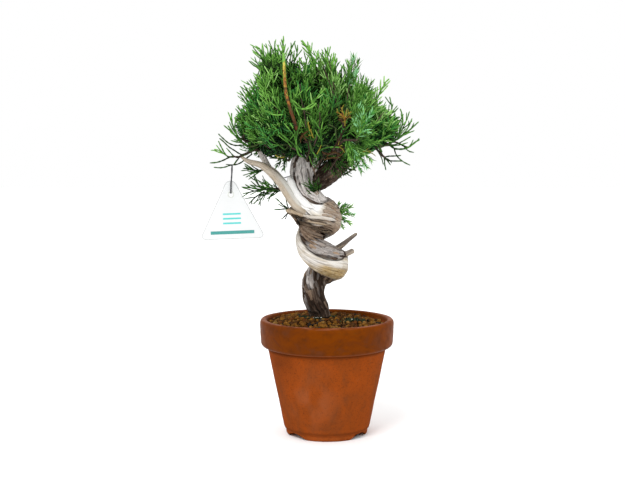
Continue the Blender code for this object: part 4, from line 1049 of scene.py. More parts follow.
    around = phi * 9.5 + 0 * s
    pile.add(np.concatenate([flat, caps]), grid_faces(n, sides), tris, along=carry(s), round=carry(around),
             wood=carry(wood), gold=carry(gold), tan=carry(tan), white=carry(white), grey=carry(grey), crack=carry(dark),
             shade=carry(shade), ruddy=carry(ruddy))
    rng = np.random.default_rng(77)
    likely = np.clip(1 - wood * 1.3, 0, 1) * (1 - np.clip(crack, 0, 1)) * ease(s, 3, 8) * ease(-u, -24.6, -23.8)
    bark_scales(pile, xyz, s + 0 * phi, around, likely, grey, shade, rng, 330)
    nose = ruddy * ease(-u, -19.7, -19.3) * (wood > 0.6)
    bark_scales(pile, xyz, s + 0 * phi, around, nose, grey, shade, rng, 46, "ruddy")
    surface = unit(xyz - pts[:, None])
    grow_strands(pile, xyz, surface)
    mat = wood_material("trunk_bark_and_wood", (0.86, 0.85, 0.83), (0.53, 0.455, 0.345), (0.47, 0.32, 0.135),
                        (0.37, 0.265, 0.18), (0.010, 0.006, 0.004), (0.056, 0.032, 0.019), (0.76, 0.71, 0.675))
    piece("trunk_wood", pile, [mat], ["trunk"])
    return mat


def build_limb(name, node, mat, seed, bare, per=10, sides=40, relief=1.0, tone=(0, 0, 0), tip=0.35, grey=0.5,
               shade=0.0, twist=0.05, flakes=0, lit=0.0):
    """One limb with its relief; bare is how much of it is dead wood, from 0 to 1."""
    rows = np.array(LIMBS[node], float)
    line = spline(spline(rows, 2), per)
    pts, rad = line[:, :3], line[:, 3]
    tang, one, two = carried(pts, (0.1, -1.0, 0.1))
    s = np.concatenate([[0], np.cumsum(np.linalg.norm(np.diff(pts, axis=0), axis=1))])[:, None]
    phi = (np.arange(sides) * TAU / sides)[None, :]
    a = phi - s * twist * (1 if seed % 2 else -1)
    k = rad[:, None] / 4.2

    def swirl(across, scale, n, octaves=3):
        return layers(np.stack([np.cos(a) * across, np.sin(a) * across, s * scale + seed * 9.1 + 0 * phi], -1), octaves, seed + n)

    hollow, fibre, fine = swirl(1.3, 0.05, 1, 2), swirl(4.5, 0.06, 3), swirl(12, 0.1, 5, 2)
    ridge = 1 - np.abs(fibre) * 2.2
    wood_h = 0.75 * hollow + 0.18 * fine
    bark_h = 0.25 + 0.55 * hollow + 0.42 * ridge + 0.2 * fine
    wood = np.clip(bare + 0 * wood_h + (ease(swirl(1.0, 0.03, 8, 2), -0.1, 0.2) - 0.5) * (1.0 if 0 < bare < 1 else 0), 0, 1)
    crack = np.zeros_like(wood_h)
    rng = np.random.default_rng(seed)
    for c in range(4):
        c0, c1 = rng.random() * TAU, rng.uniform(0.1, 0.6) * s.max()
        bend = 0.5 * layers(np.stack([s[:, 0] * 0.06, 0 * s[:, 0] + c * 5, 0 * s[:, 0]], -1), 2, seed + 40)[:, None]
        off = (a - c0 - bend + math.pi) % TAU - math.pi
        crack = np.maximum(crack, 0.8 * np.exp(-(off / 0.10) ** 2) * ease(s, c1 - 4, c1 + 2) * ease(-s, -c1 - s.max() * 0.4, -c1 - s.max() * 0.25))
    h = (bark_h * (1 - wood) + (wood_h - 0.7 * crack) * wood) * relief * np.clip(k, 0.25, 1.4)
    r = rad[:, None] + h
    r[-1] *= tip
    r[-2] *= 0.5 + tip / 2
    d = np.cos(phi)[..., None] * one[:, None] + np.sin(phi)[..., None] * two[:, None]
    xyz = pts[:, None] + d * r[..., None]
    bright = tone[2] + lit * ease(d @ np.array((0.75, -0.25, 0.6)), 0.15, 0.65) * ease(-s, -48, -26)
    n = len(pts)
    caps = np.array([pts[0], pts[-1] + tang[-1] * rad[-1] * 0.3])
    ends = [(i, (i + 1) % sides) for i in range(sides)]
    tris = [(b, c, n * sides) for c, b in ends] + [((n - 1) * sides + c, (n - 1) * sides + b, n * sides + 1) for c, b in ends]

    def carry(v):
        return np.concatenate([(np.asarray(v, float) + 0 * s).reshape(-1) if np.ndim(v) else np.full(n * sides, float(v)), [0.0, 0.0]])

    # painted shade in the cracks of the bare wood and the furrows of the bark
    gap = np.clip(np.maximum(crack * wood, ease(-ridge, -0.15, 0.6) * 0.5 * (1 - wood)), 0, 1)
    pile = Pile()
    pile.add(np.concatenate([xyz.reshape(-1, 3), caps]), grid_faces(n, sides), tris,
             along=carry(s + 0 * phi), round=carry(phi * rad.mean() * 1.5 + 0 * s), wood=carry(wood), gold=carry(tone[0]),
             tan=carry(tone[1]), white=carry(bright), grey=carry(grey), crack=carry(gap),
             shade=carry(shade), ruddy=carry(0.0))
    if flakes:
        bark_scales(pile, xyz, s + 0 * phi, phi * rad.mean() * 1.5 + 0 * s, 1 - wood + 0.001, grey + 0 * wood, shade + 0 * wood,
                    rng, flakes)
    piece(name, pile, [mat], [node])


def build_limbs(mat):
    jin = wood_material("dead_branch_wood", (0.62, 0.60, 0.55), (0.50, 0.42, 0.31), (0.46, 0.33, 0.19),
                        (0.42, 0.32, 0.23), (0.020, 0.012, 0.008), (0.080, 0.054, 0.037), (0.30, 0.27, 0.24))
    build_limb("dead_branch_wood", "dead_branch", jin, 5, 1.0, 10, 52, 0.75, (0.12, 0.35, 0.10), 0.4, lit=0.9)
    build_limb("dead_spur_wood", "dead_spur", jin, 8, 0.45, 14, 44, 1.7, (0.0, 0.8, 0.0), 0.25, 0.2, 0.35)
    build_limb("upper_stub_wood", "upper_stub", jin, 11, 0.45, 12, 32, 1.1, (0.0, 0.6, 0.0), 0.5, 0.4, 0.15)
    build_limb("lower_stub_wood", "lower_stub", jin, 14, 0.7, 12, 32, 1.1, (0.0, 0.5, 0.1), 0.75)
    build_limb("left_bough_bark", "left_bough", mat, 17, 0.25, 10, 32, 1.2, (0.0, 0.3, 0.4), 0.6, 0.9)
    brown = wood_material("bough_bark", (0.62, 0.60, 0.55), (0.50, 0.42, 0.31), (0.46, 0.33, 0.19),
                          (0.22, 0.14, 0.085), (0.006, 0.004, 0.003), (0.040, 0.022, 0.013), (0.17, 0.115, 0.08))
    build_limb("right_bough_bark", "right_bough", brown, 20, 0.0, 14, 72, 1.5, tip=0.7, grey=0.2, twist=0.012, flakes=70)
    for i, node in enumerate(("right_tip_bough", "right_top_bough", "centre_bough", "leader_bough",
                              "left_top_bough", "front_bough", "back_left_bough", "back_bough", "back_right_bough")):
        build_limb(node + "_bark", node, brown, 23 + i * 3, 0.0, 8, 26, 1.6, tip=0.7, grey=0.1)


# ================================================================ the shoots
GREENS = [lin(9, 24, 7), lin(25, 50, 17), lin(50, 90, 31), lin(75, 124, 46), lin(107, 160, 67), lin(150, 196, 112),
          lin(22, 52, 28), lin(42, 92, 40), lin(66, 134, 58), lin(134, 194, 136),
          lin(142, 130, 48), lin(84, 58, 32), lin(48, 30, 20), lin(140, 92, 40), lin(86, 46, 28), lin(182, 170, 72)]
BLUE, YELLOW, DEAD, DRY, ORANGE, RUST, GOLDEN = 6, 10, 11, 12, 13, 14, 15


def leaf_materials():
    mats = []
    for n, c in enumerate(GREENS):
        s = Shader(f"leaf_{n}", rough=0.55, spec=0.16, colour=c)
        s.set("Specular Tint", (0.85, 1.0, 0.70, 1.0))
        mats.append(s.mat)
    return mats


class Shoots:
    """Scale-leaf shoots: tapering four-sided cords whose rings turn and swell like pairs of leaves."""

    def __init__(self):
        self.sets = []
        self.length = 0.0

    def add(self, group, base, way, length, bend, radius, tone_low, tone_high, rng, step=2.0, ahead=0.6):
        """bend is added along the shoot as its square; tones are slots at the foot and at the tip."""
        base, way, bend = (np.asarray(v, float).reshape(-1, 3) for v in (base, way, bend))
        n = len(base)
        if not n:
            return
        length = np.broadcast_to(np.asarray(length, float), (n,))
        k_all = np.clip(np.round(length / step).astype(int), 2, 16)
        group, radius, low, high = (np.broadcast_to(v, (n,)) for v in (group, radius, tone_low, tone_high))
        way = unit(way)
        for k in np.unique(k_all):
            m = k_all == k
            t = np.linspace(0, 1, k + 1)[None, :, None]
            line = base[m][:, None] + length[m][:, None, None] * (way[m][:, None] * t + bend[m][:, None] * t * t)
            self.lines(group[m], line, radius[m], low[m], high[m], rng, ahead)

    def lines(self, group, line, radius, low, high, rng, ahead=0.6):
        """Shoots along given lines, (n, k + 1, 3)."""
        n = len(line)
        self.length += float(np.linalg.norm(np.diff(line, axis=1), axis=2).sum())
        self.sets.append((np.broadcast_to(group, (n,)), line, np.broadcast_to(radius, (n,)), np.broadcast_to(low, (n,)),
                          np.broadcast_to(high, (n,)), rng.random(n) * TAU, ahead))

    def piles(self, count):
        piles = [Pile() for _ in range(count)]
        for group, line, radius, low, high, roll, ahead in self.sets:
            for g in np.unique(group):
                m = group == g
                pts, quads, tris, qs, ts = self.cords(line[m], radius[m], low[m], high[m], roll[m], ahead)
                piles[g].add(pts, quads, tris, slot=qs, tri_slot=ts)
        return piles

    @staticmethod
    def cords(line, radius, low, high, roll, ahead):
        n, k = len(line), line.shape[1] - 1
        tang = unit(np.gradient(line, axis=1))
        mean = unit(line[:, -1] - line[:, 0])
        ref = np.where(np.abs(mean[:, 2:3]) > 0.8, np.array([[1.0, 0.15, 0]]), np.array([[0.1, 0, 1.0]]))
        one = unit(np.cross(tang, ref[:, None]))
        two = np.cross(tang, one)
        ring = np.arange(k)
        prof = (1.0 - 0.14 * ring / k) * np.where(ring % 2 == 0, 1.0, 0.84)
        prof[-1] = 0.70
        near = line[:, k - 1] + (line[:, k] - line[:, k - 1]) * 0.55
        line = np.concatenate([line[:, :k - 1], near[:, None], line[:, k:]], 1)
        a = roll[:, None, None] + (ring % 2)[None, :, None] * (TAU / 8) + (np.arange(4) * TAU / 4)[None, None, :]
        off = (np.cos(a)[..., None] * one[:, :k, None] + np.sin(a)[..., None] * two[:, :k, None])
        rings = line[:, :k, None] + off * (radius[:, None] * prof[None])[:, :, None, None]
        tip = line[:, k]
        per = 4 * k + 1
        pts = np.concatenate([rings.reshape(n, 4 * k, 3), tip[:, None]], 1).reshape(-1, 3)
        q = grid_faces(k, 4)[:, ::-1]
        cap = np.array([[0, 1, 2, 3]])
        start = (np.arange(n) * per)[:, None, None]
        quads = (np.concatenate([q, cap])[None] + start).reshape(-1, 4)
        last = 4 * (k - 1)
        tri = np.array([[last + (j + 1) % 4, last + j, 4 * k] for j in range(4)])
        tris = (tri[None] + start).reshape(-1, 3)
        band = np.repeat((np.arange(k - 1) + 0.5) / k, 4)
        qs = np.where(band[None] < ahead, low[:, None], high[:, None])
        qs = np.concatenate([qs, low[:, None]], 1).reshape(-1)
        return pts, quads[:, ::-1], tris[:, ::-1], qs, np.repeat(high, 4)


class Needles:
    """Awl-shaped young leaves, each a slim keeled blade."""

    def __init__(self):
        self.parts = []

    def add(self, base, way, face, length, width, tone):
        n = len(base)
        self.parts.append((base, unit(way), face, np.broadcast_to(length, (n,)), np.broadcast_to(width, (n,)),
                           np.broadcast_to(tone, (n,))))

    def pile(self):
        pile = Pile()
        for base, way, face, length, width, tone in self.parts:
            side = unit(np.cross(way, face))
            keel = np.cross(side, way)
            l, w = length[:, None], width[:, None]
            pts = np.stack([base - keel * w * 0.15,
                            base + way * l * 0.42 + side * w * 0.5, base + way * l * 0.42 - keel * w * 0.34,
                            base + way * l * 0.42 - side * w * 0.5, base + way * l * 0.42 + keel * w * 0.10,
                            base + way * l], 1)
            f = np.array([[0, 1, 2], [0, 2, 3], [0, 3, 4], [0, 4, 1], [5, 2, 1], [5, 3, 2], [5, 4, 3], [5, 1, 4]])
            tris = (f[None] + (np.arange(len(base)) * 6)[:, None, None]).reshape(-1, 3)
            pile.add(pts.reshape(-1, 3), tris=tris[:, ::-1], tri_slot=np.repeat(tone, 8))
        return pile


UP = np.array((0, 0, 1.0))


def spray(shoots, rng, group, foot, way, length, level, flat, tone_of, room, lush=1.0, thick=0.68, curl=0.14):
    """A loose fan of whips: a leading shoot, and side shoots that turn until they run beside it.
    All arguments are arrays over the sprays; flat is the direction across the fan, and room tells
    which tips have room."""
    n = len(foot)
    way = unit(way)
    side = unit(flat - way * np.sum(flat * way, 1)[:, None])
    face = np.cross(way, side)
    bend = curl * (UP * 1.2 + rng.normal(0, 0.9, (n, 3)))
    bend = bend - way * np.sum(bend * way, 1)[:, None] * 0.8

    def line(t):
        return foot + length[:, None] * (way * t[:, None] + bend * (t ** 2)[:, None])

    def head(t):
        return unit(way + 2 * bend * t[:, None])

    lead_r = thick * rng.uniform(0.90, 1.10, n)
    # shoots darken from tip to foot: partly the young tips' own lighter colour, partly painted shade inside the spray
    shoots.add(group, foot, way, length, bend, lead_r * 1.05, tone_of(level - 1.6), tone_of(level + 0.4), rng, 2.4, 0.50)
    count = 7
    for j in range(count):
        t = np.clip(0.08 + 0.66 * (j + rng.uniform(-0.45, 0.45, n)) / (count - 1), 0.04, 0.84)
        have = rng.random(n) < 0.90 * lush
        sign = np.where((j % 2 == 0), 1.0, -1.0) * np.ones(n)
        ahead = head(t)
        ang = np.radians(rng.uniform(28, 50, n))
        lift = rng.normal(0, 0.42, n)
        across = unit(side * sign[:, None] + face * lift[:, None])
        across = unit(across - ahead * np.sum(across * ahead, 1)[:, None])
        d = ahead * np.cos(ang)[:, None] + across * np.sin(ang)[:, None]
        size = np.clip(length * rng.uniform(0.40, 0.68, n) * (1.08 - 0.50 * t), 6.0, 21)
        turn = (ahead - d * np.cos(ang)[:, None]) * rng.uniform(0.15, 0.50, n)[:, None] + UP * 0.07 + rng.normal(0, 0.05, (n, 3))
        p0 = line(t)
        m = have & room(p0 + size[:, None] * (d + turn))
        tips = level + rng.normal(0, 0.40, n)
        shoots.add(group[m], p0[m], d[m], size[m], turn[m], lead_r[m] * 0.96,
                   tone_of(tips - 0.8)[m], tone_of(tips + 0.6)[m], rng, 2.3, 0.38)
        for i, (where, chance) in enumerate(((0.34, 0.66), (0.62, 0.30))):
            keep = m & (size > (9.5 if i else 7.0)) & (rng.random(n) < chance * lush)
            if not keep.any():
                continue
            w = where + rng.uniform(-0.10, 0.10, n)
            p1 = p0 + size[:, None] * (d * w[:, None] + turn * (w ** 2)[:, None])
            d1 = unit(d + 2 * turn * w[:, None])
            flip = (1.0 if i == 0 else -1.0) * sign
            a1 = np.radians(rng.uniform(24, 42, n))
            c1 = unit(np.cross(face + rng.normal(0, 0.40, (n, 3)), d1)) * flip[:, None]
            d2 = d1 * np.cos(a1)[:, None] + c1 * np.sin(a1)[:, None]
            s2 = np.clip(size * rng.uniform(0.42, 0.64, n), 5.0, 11.0)
            keep &= room(p1 + s2[:, None] * d2 * 1.2)
            shoots.add(group[keep], p1[keep], d2[keep], s2[keep], (d1 * 0.26 + UP * 0.05)[keep], lead_r[keep] * 0.92,
                       tone_of(tips + 0.1)[keep], tone_of(tips + 1.0)[keep], rng, 2.2, 0.5)


def needle_shoot(needles, shoots, rng, group, line, dark, light, gap=1.9, size=6.6, wide=0.95, spread=(32, 56), stem=0.5):
    """Young growth: whorls of three awl leaves along a thin shoot drawn by its line."""
    step = np.linalg.norm(np.diff(line, axis=0), axis=1)
    run = np.concatenate([[0], np.cumsum(step)])
    m = max(4, int(run[-1] / gap))
    s = (np.arange(m) + 0.5) / m * run[-1]
    p = np.stack([np.interp(s, run, line[:, i]) for i in range(3)], 1)
    d = unit(np.gradient(p, axis=0))
    ref = unit(np.cross(d, (0.3, 0.2, 1.0)))
    other = np.cross(d, ref)
    t = s / run[-1]
    for k in range(3):
        a = k * TAU / 3 + np.arange(m) * (TAU / 6) + rng.normal(0, 0.2, m)
        outw = ref * np.cos(a)[:, None] + other * np.sin(a)[:, None]
        tilt = np.radians(rng.uniform(*spread, m) * (1 - 0.45 * t))
        w = d * np.cos(tilt)[:, None] + outw * np.sin(tilt)[:, None]
        ln = size * (1 - 0.30 * t) * rng.uniform(0.78, 1.15, m)
        pick = rng.random(m)
        tone = np.where(pick < 0.16 + 0.44 * t, light, np.where(pick > 0.90, 2, dark))
        needles.add(p, w, outw, ln, rng.uniform(0.85, 1.1, m) * wide, tone)
    rows = np.linspace(0, len(line) - 1, max(3, int(run[-1] / 3)) + 1)
    thin = np.stack([np.interp(rows, range(len(line)), line[:, i]) for i in range(3)], 1)
    shoots.lines(group, thin[None], stem, dark, dark, rng)


def drawn(points, depth, drift=0.0):
    """A smooth line in space through points of the picture, from a depth at its foot to another at its tip."""
    points = np.array(points, float)
    t = np.linspace(0, 1, len(points))
    rows = np.array([at(px, py, depth + drift * w) for (px, py), w in zip(points, t)])
    return spline(rows, 6)


def evened(line, step):
    run = np.concatenate([[0], np.cumsum(np.linalg.norm(np.diff(line, axis=0), axis=1))])
    k = int(np.clip(round(run[-1] / step), 2, 60))
    s = np.linspace(0, run[-1], k + 1)
    return np.stack([np.interp(s, run, line[:, i]) for i in range(3)], 1)


# ================================================================ the crown
# outline of the close foliage from the front, in picture pixels; single shoots stand out from it
OUTLINE = ((262, 55), (269, 50), (276, 50), (283, 50), (287, 63), (293, 59), (296, 67), (301, 71), (305, 66), (311, 58),
           (318, 57), (325, 55), (330, 60), (335, 65), (338, 73), (343, 77), (348, 70), (352, 61), (357, 65), (356, 78),
           (361, 83), (367, 84), (372, 87), (374, 95), (378, 101), (384, 106), (390, 110), (397, 114), (402, 121),
           (403, 130), (398, 138), (392, 144), (385, 146), (378, 149), (372, 153), (364, 158), (357, 158), (352, 165),
           (344, 173), (330, 178), (316, 172), (310, 164), (300, 160), (292, 163), (284, 165), (276, 161), (268, 159),
           (259, 160), (252, 157), (246, 150), (242, 143), (238, 136), (234, 129), (232, 120), (236, 114), (240, 108),
           (246, 104), (244, 97), (246, 91), (251, 87), (256, 85), (259, 79), (262, 73), (258, 66), (258, 60))

# where few sprays stand in front: before the fork, and around the tufts of young leaves
CLEARING = ((320, 130), (328, 112), (334, 98), (340, 88), (350, 90), (355, 104), (355, 118), (352, 140), (350, 152), (346, 166), (326, 174), (312, 168), (314, 150))
AIRY_TOP = ((284, 52), (300, 58), (322, 52), (340, 62), (352, 78), (346, 92), (326, 84), (308, 86), (296, 74))
BOUGH_SEEN = ((249, 141), (257, 137.5), (265, 145), (273, 154), (280, 166), (276, 171), (267, 168), (259, 159), (251, 150))
AIRY = ((375, 147), (373, 134), (381, 120), (392, 110), (412, 110), (416, 128), (404, 146), (388, 151))
TUFT_PLACE = ((352, 104), (366, 100), (380, 112), (380, 136), (370, 146), (356, 146), (350, 130))

# single shoots seen from the front: depth at foot, drift to the tip, radius, tone, side shoots, then points tip first
EDGE = (
    # the top, from the left
    (-6, -4, 0.62, 2.6, 1, (252.5, 46.5), (258.5, 54), (262, 58), (268, 68)),
    (-10, -4, 0.85, 3.6, 3, (389.5, 78.5), (385.4, 82.4), (383, 87), (380, 92.4), (377, 98.6), (371, 110)),
    (-14, 2, 0.66, 3.2, 2, (255, 45.5), (260, 49), (262.5, 54), (268, 64)),
    (2, -2, 0.55, 2.4, 0, (262, 47), (262.3, 52), (265, 62)),
    (-10, 2, 0.60, 3.2, 1, (265.5, 43), (267.5, 49), (268.5, 54), (272, 68)),
    (-4, -4, 0.58, 2.6, 1, (268.5, 40), (271, 46), (273.2, 52), (276, 66)),
    (4, -6, 0.60, 2.4, 0, (274.8, 40.5), (275, 49), (276.5, 60), (279, 74)),
    (-4, 2, 0.62, 2.8, 1, (279, 44), (278, 50), (279, 58), (281, 70)),
    (-16, -2, 0.82, 3.0, 2, (283.5, 35.5), (283.3, 43), (282.6, 52), (282.6, 62), (281.5, 76)),
    (-12, 0, 0.62, 3.4, 1, (285.5, 45), (284, 52), (283, 60), (283, 68)),
    (0, -6, 0.70, 2.4, 1, (295.5, 40.5), (291.5, 48), (288, 56), (286, 62), (284, 74)),
    (-8, -2, 0.72, 2.4, 2, (297.5, 44.5), (297.4, 50), (296.2, 57), (293, 66), (290.6, 78)),
    (-2, -4, 0.56, 2.8, 1, (294.5, 50), (293, 57), (291, 65), (289, 76)),
    (2, -4, 0.58, 2.2, 0, (291, 51), (290.6, 58), (288, 70), (287, 80)),
    (-4, -8, 0.62, 2.2, 0, (296.3, 61), (299.5, 67), (302, 74), (304, 84)),
    (-14, -2, 0.86, 3.2, 2, (300.5, 40.2), (303.6, 43), (308, 49.5), (311.6, 56), (314, 62), (315, 76)),
    (-10, 2, 0.70, 3.4, 1, (307.5, 41), (308.3, 47), (310.5, 54), (314, 66)),
    (-2, -6, 0.62, 2.4, 0, (304.5, 49.5), (309, 54), (313, 60), (316, 70)),
    (-12, 4, 0.58, 3.0, 1, (313, 50), (315, 55), (318.5, 61), (320, 72)),
    (-6, 2, 0.58, 4.2, 1, (317, 50.5), (319, 55), (320, 62), (321, 74)),
    (-4, -2, 0.62, 3.0, 1, (308, 56), (306.8, 60), (306, 68), (307, 78)),
    (-14, 2, 0.62, 2.6, 1, (303.5, 61), (304.5, 66), (306, 74), (309, 84)),
    (-8, 0, 0.78, 3.2, 3, (328, 46.5), (327.6, 51), (327.4, 56), (328.6, 64), (329, 78)),
    (-2, -2, 0.62, 2.6, 1, (325.4, 49.5), (325.6, 55), (326.6, 62), (328, 74)),
    (-12, 0, 0.66, 2.6, 1, (322, 51.5), (323, 57), (325.5, 64), (327, 74)),
    (-16, 0, 0.78, 3.4, 2, (335.6, 53), (334.8, 57.5), (332.4, 62), (332, 70), (332, 82)),
    (-8, 2, 0.60, 3.2, 1, (332, 57), (333, 61), (333.5, 68), (334, 76)),
    (0, -4, 0.55, 2.4, 1, (337.6, 60), (335.4, 64.5), (333.5, 70), (332, 80)),
    (-4, -4, 0.55, 2.4, 0, (338.6, 62), (336.4, 67), (335, 74), (334, 84)),
    (-6, -2, 0.62, 2.2, 1, (340.5, 69.5), (339.6, 75), (339.4, 83), (338, 94)),
    (-10, 0, 0.60, 2.6, 1, (343.4, 63.5), (344.4, 68), (345.6, 74), (345, 86)),
    (4, -4, 0.52, 2.0, 0, (345, 59), (347, 64), (349.4, 69), (350, 80)),
    (6, -2, 0.52, 2.0, 0, (348.4, 60.5), (349.4, 67), (350.4, 76), (350, 88)),
    # the left flank
    (-8, 0, 0.60, 2.6, 1, (254.5, 56.4), (256, 61), (259.5, 67), (264, 78)),
    (-4, -6, 0.62, 2.4, 0, (248.5, 60.6), (253, 65), (257.5, 67.8), (262.5, 73.5), (267, 81)),
    (-20, -2, 0.70, 3.4, 2, (255.5, 73.5), (259, 77), (262, 83), (268, 94)),
    (-6, -2, 0.56, 2.4, 0, (254.5, 77.2), (257, 82), (260, 88), (266, 98)),
    (-12, 0, 0.62, 2.8, 1, (250, 78.6), (252.5, 83), (255.5, 89), (262, 99)),
    (-16, -2, 0.64, 2.6, 1, (246.4, 81), (250, 85), (254, 90), (261, 99)),
    (-6, -4, 0.66, 2.2, 1, (243.4, 84.4), (246, 88.5), (250, 94.5), (257, 105)),
    (-10, 0, 0.58, 2.4, 0, (241.2, 87.4), (244, 92), (248.5, 98), (256, 108)),
    (-14, -4, 0.64, 2.6, 1, (239.5, 90.6), (243, 95), (247, 101), (254, 110)),
    (-4, -4, 0.60, 2.4, 1, (240, 95.4), (243, 99), (248, 106), (256, 115)),
    (-10, -2, 0.60, 2.8, 1, (237.6, 104.6), (240, 110), (242, 116), (246, 127)),
    (-2, -4, 0.54, 2.4, 0, (241.4, 105), (244.4, 108), (249, 112.4), (256, 120)),
    (-16, 0, 0.74, 2.6, 1, (231.6, 112.6), (231.6, 118), (233, 126), (237, 135), (243, 143)),
    (-8, -4, 0.56, 2.4, 0, (229.5, 115), (231, 121), (233.6, 128), (238, 137)),
    (-12, 0, 0.60, 2.4, 0, (229.2, 121.4), (232, 128), (235.4, 133), (241, 140)),
    (-20, -2, 0.80, 2.2, 1, (227.6, 125.2), (231, 130), (235.4, 136), (240.4, 141.6), (248, 147)),
    (-10, -6, 0.62, 2.8, 1, (236, 113.6), (239, 118), (241.2, 124), (244, 134)),
    (-4, -4, 0.58, 2.2, 0, (234.6, 117), (236.6, 122), (239, 129), (243, 139)),
    (-18, -6, 0.60, 2.2, 0, (233.6, 139.4), (238, 140.6), (243, 142.4), (250, 147)),
    # the low left tip
    (0, -6, 0.68, 1.6, 0, (218, 133.5), (223, 138.4), (228.5, 143), (235, 145.4), (241, 145.2), (246, 145), (252, 146.4), (258, 150)),
    (-2, -6, 0.66, 1.6, 0, (219, 138), (223.5, 141.6), (229, 147), (235, 150.8), (240, 154), (245, 155), (251, 152)),
    (-2, -8, 0.72, 1.8, 0, (218.2, 140.6), (221, 146.4), (224.5, 153), (228, 156.8), (233, 157), (238, 156.6), (243, 156), (250, 152)),
    (-8, -2, 0.66, 3.4, 1, (213.8, 149.2), (218, 150), (223, 153), (228, 156.6)),
    (-8, -2, 0.50, 3.6, 0, (217.6, 146.8), (219.6, 149.2), (222, 152)),
    (-6, -2, 0.58, 1.8, 0, (226, 147.6), (229.6, 151.6), (233, 155.4), (236, 157)),
    (-8, -4, 0.70, 1.4, 0, (209.4, 163), (216.6, 162.4), (223, 160.4), (229, 157.4), (233, 156.4)),
    (-2, -6, 0.64, 1.4, 0, (213.4, 167.2), (220, 167.8), (226, 166.8), (230, 165.2), (236, 164.6), (241, 162.6), (246, 158.6), (252, 154)),
    (-6, -3, 0.50, 1.6, 0, (225.4, 164.4), (229, 164.6), (233, 165)),
    (-4, -3, 0.56, 1.6, 0, (233.4, 164.6), (236.6, 160.6), (239.4, 157)),
    (0, -6, 0.52, 2.0, 0, (239, 148.6), (243.4, 150.4), (248, 151), (254, 150)),
    # the right flank
    (-14, 2, 0.60, 2.8, 1, (376.6, 87), (373, 90), (368.6, 94), (362, 102)),
    (-10, 0, 0.58, 2.6, 0, (377, 92), (376, 97.4), (372, 106), (366, 116)),
    (-12, 2, 0.66, 2.2, 0, (383.6, 100.2), (380, 103), (375, 107.4), (368, 116)),
    (-16, 0, 0.62, 2.4, 1, (386.6, 106.6), (383, 110), (378, 114), (371, 121)),
    (-6, -2, 0.66, 2.0, 1, (389.6, 96.4), (390.8, 102), (391.8, 108), (390.4, 114), (385, 124)),
    (-8, 0, 0.52, 2.0, 0, (393.2, 103), (392.2, 107), (391, 113)),
    (-4, 2, 0.62, 2.2, 0, (398.6, 107.4), (396, 110.4), (392, 113), (387, 120), (382, 130)),
    (-12, -2, 0.74, 2.6, 1, (400, 108.4), (402, 114), (402.8, 120), (401.6, 127), (398, 134), (391, 142)),
    (-6, -2, 0.56, 2.4, 0, (403.6, 113.6), (402, 117), (399.4, 122), (394, 131)),
    (-4, -2, 0.56, 2.2, 1, (398, 119), (393, 120), (388.6, 121.4), (382, 128)),
    (-8, -4, 0.64, 2.2, 1, (409.6, 111), (408, 116), (406, 121.4), (403, 128), (399, 134), (392, 142)),
    (-14, -4, 0.66, 2.2, 1, (412.2, 118), (409.8, 124), (407.4, 128.6), (403, 134), (396, 140), (388, 144.6)),
    (-2, -6, 0.74, 2.0, 1, (419, 121.4), (414, 126), (409.6, 130), (404, 134), (397, 139.4), (389, 143.6)),
    (-16, 0, 0.60, 2.4, 0, (410, 131.4), (404, 134.8), (397, 139.8), (389, 143.4)),
    (-8, -2, 0.62, 2.0, 0, (411, 136.4), (407.6, 138.4), (402, 141.6), (396, 144.4), (389, 145)),
    (-12, -2, 0.58, 2.2, 0, (408.2, 142.4), (404, 143.8), (397, 145.4), (390, 145.6)),
    (-6, -8, 0.86, 1.8, 0, (420, 139.4), (416, 141.6), (411, 145.6), (407, 148), (401, 149.2), (394, 148.4), (390.6, 145.8), (385, 144.8), (378, 146)),
    (-12, -3, 0.52, 2.0, 0, (419.4, 137.8), (417.4, 140.8), (415, 142.6)),
    (-10, -4, 0.56, 1.8, 0, (413.4, 139.4), (411.2, 144), (408.6, 147.4)),
    (-8, -6, 0.64, 1.6, 0, (414.4, 152.4), (410.8, 152), (407, 149.8), (403.2, 145.8), (398, 143)),
    (-8, -2, 0.70, 1.6, 0, (401.4, 155.4), (395, 156), (388.6, 156.2), (384.6, 157.2)),
    (-8, -8, 0.64, 1.5, 0, (410.6, 165.4), (404, 162.2), (398.6, 158), (395.4, 153), (394, 148), (391, 145)),
    (-7, -3, 0.70, 1.5, 0, (403, 161), (395.4, 161), (388.6, 160.6), (384.4, 158)),
    (-8, -3, 0.56, 1.5, 0, (390.8, 165.4), (388, 161.4), (385, 158)),
    (-7, -2, 0.52, 1.5, 0, (392, 163.4), (390.4, 161), (388, 159)),
    (-4, -4, 0.70, 1.5, 0, (386, 170.4), (384.6, 164), (384.4, 158.4), (381.6, 153.4), (379.4, 149), (376, 144)),
    (-8, -4, 0.58, 1.5, 0, (383.4, 165), (381.6, 158), (378.4, 152), (375.4, 147)),
    # long bows and lighter shoots across the front
    (-44, -14, 0.80, 3.4, 1, (316.6, 102.6), (312, 107), (306, 108.8), (299, 108.6), (294, 104.6), (291, 98), (290, 88)),
    (-46, -10, 0.66, 3.0, 0, (283, 114.6), (276, 115), (269, 113), (262.4, 108), (259, 101)),
    (-50, -6, 0.74, 2.2, 1, (302.4, 157.4), (299, 155), (297, 149), (296.2, 140), (298, 130), (299, 120), (300, 108)),
    (-52, -2, 0.60, 3.3, 0, (301.2, 118), (300.2, 123), (298.6, 129)),
    (-50, -4, 0.66, 2.8, 0, (284, 123), (289.6, 130), (294.6, 137), (296, 144)),
    (-50, -4, 0.60, 3.0, 0, (289.6, 122.6), (293, 128), (295.6, 135), (296, 142)),
    (-48, -4, 0.64, 2.6, 0, (280, 133), (288, 139.4), (294.4, 145), (297, 150)),
    (-46, -6, 0.60, 3.2, 1, (272, 124), (278, 131), (285, 138), (292, 148)),
    (-44, -8, 0.62, 2.4, 1, (262, 132), (268, 138), (276, 143), (285, 150)),
    (-42, -4, 0.62, 2.2, 0, (317.6, 158.6), (314.4, 154.4), (311, 149), (309, 140)),
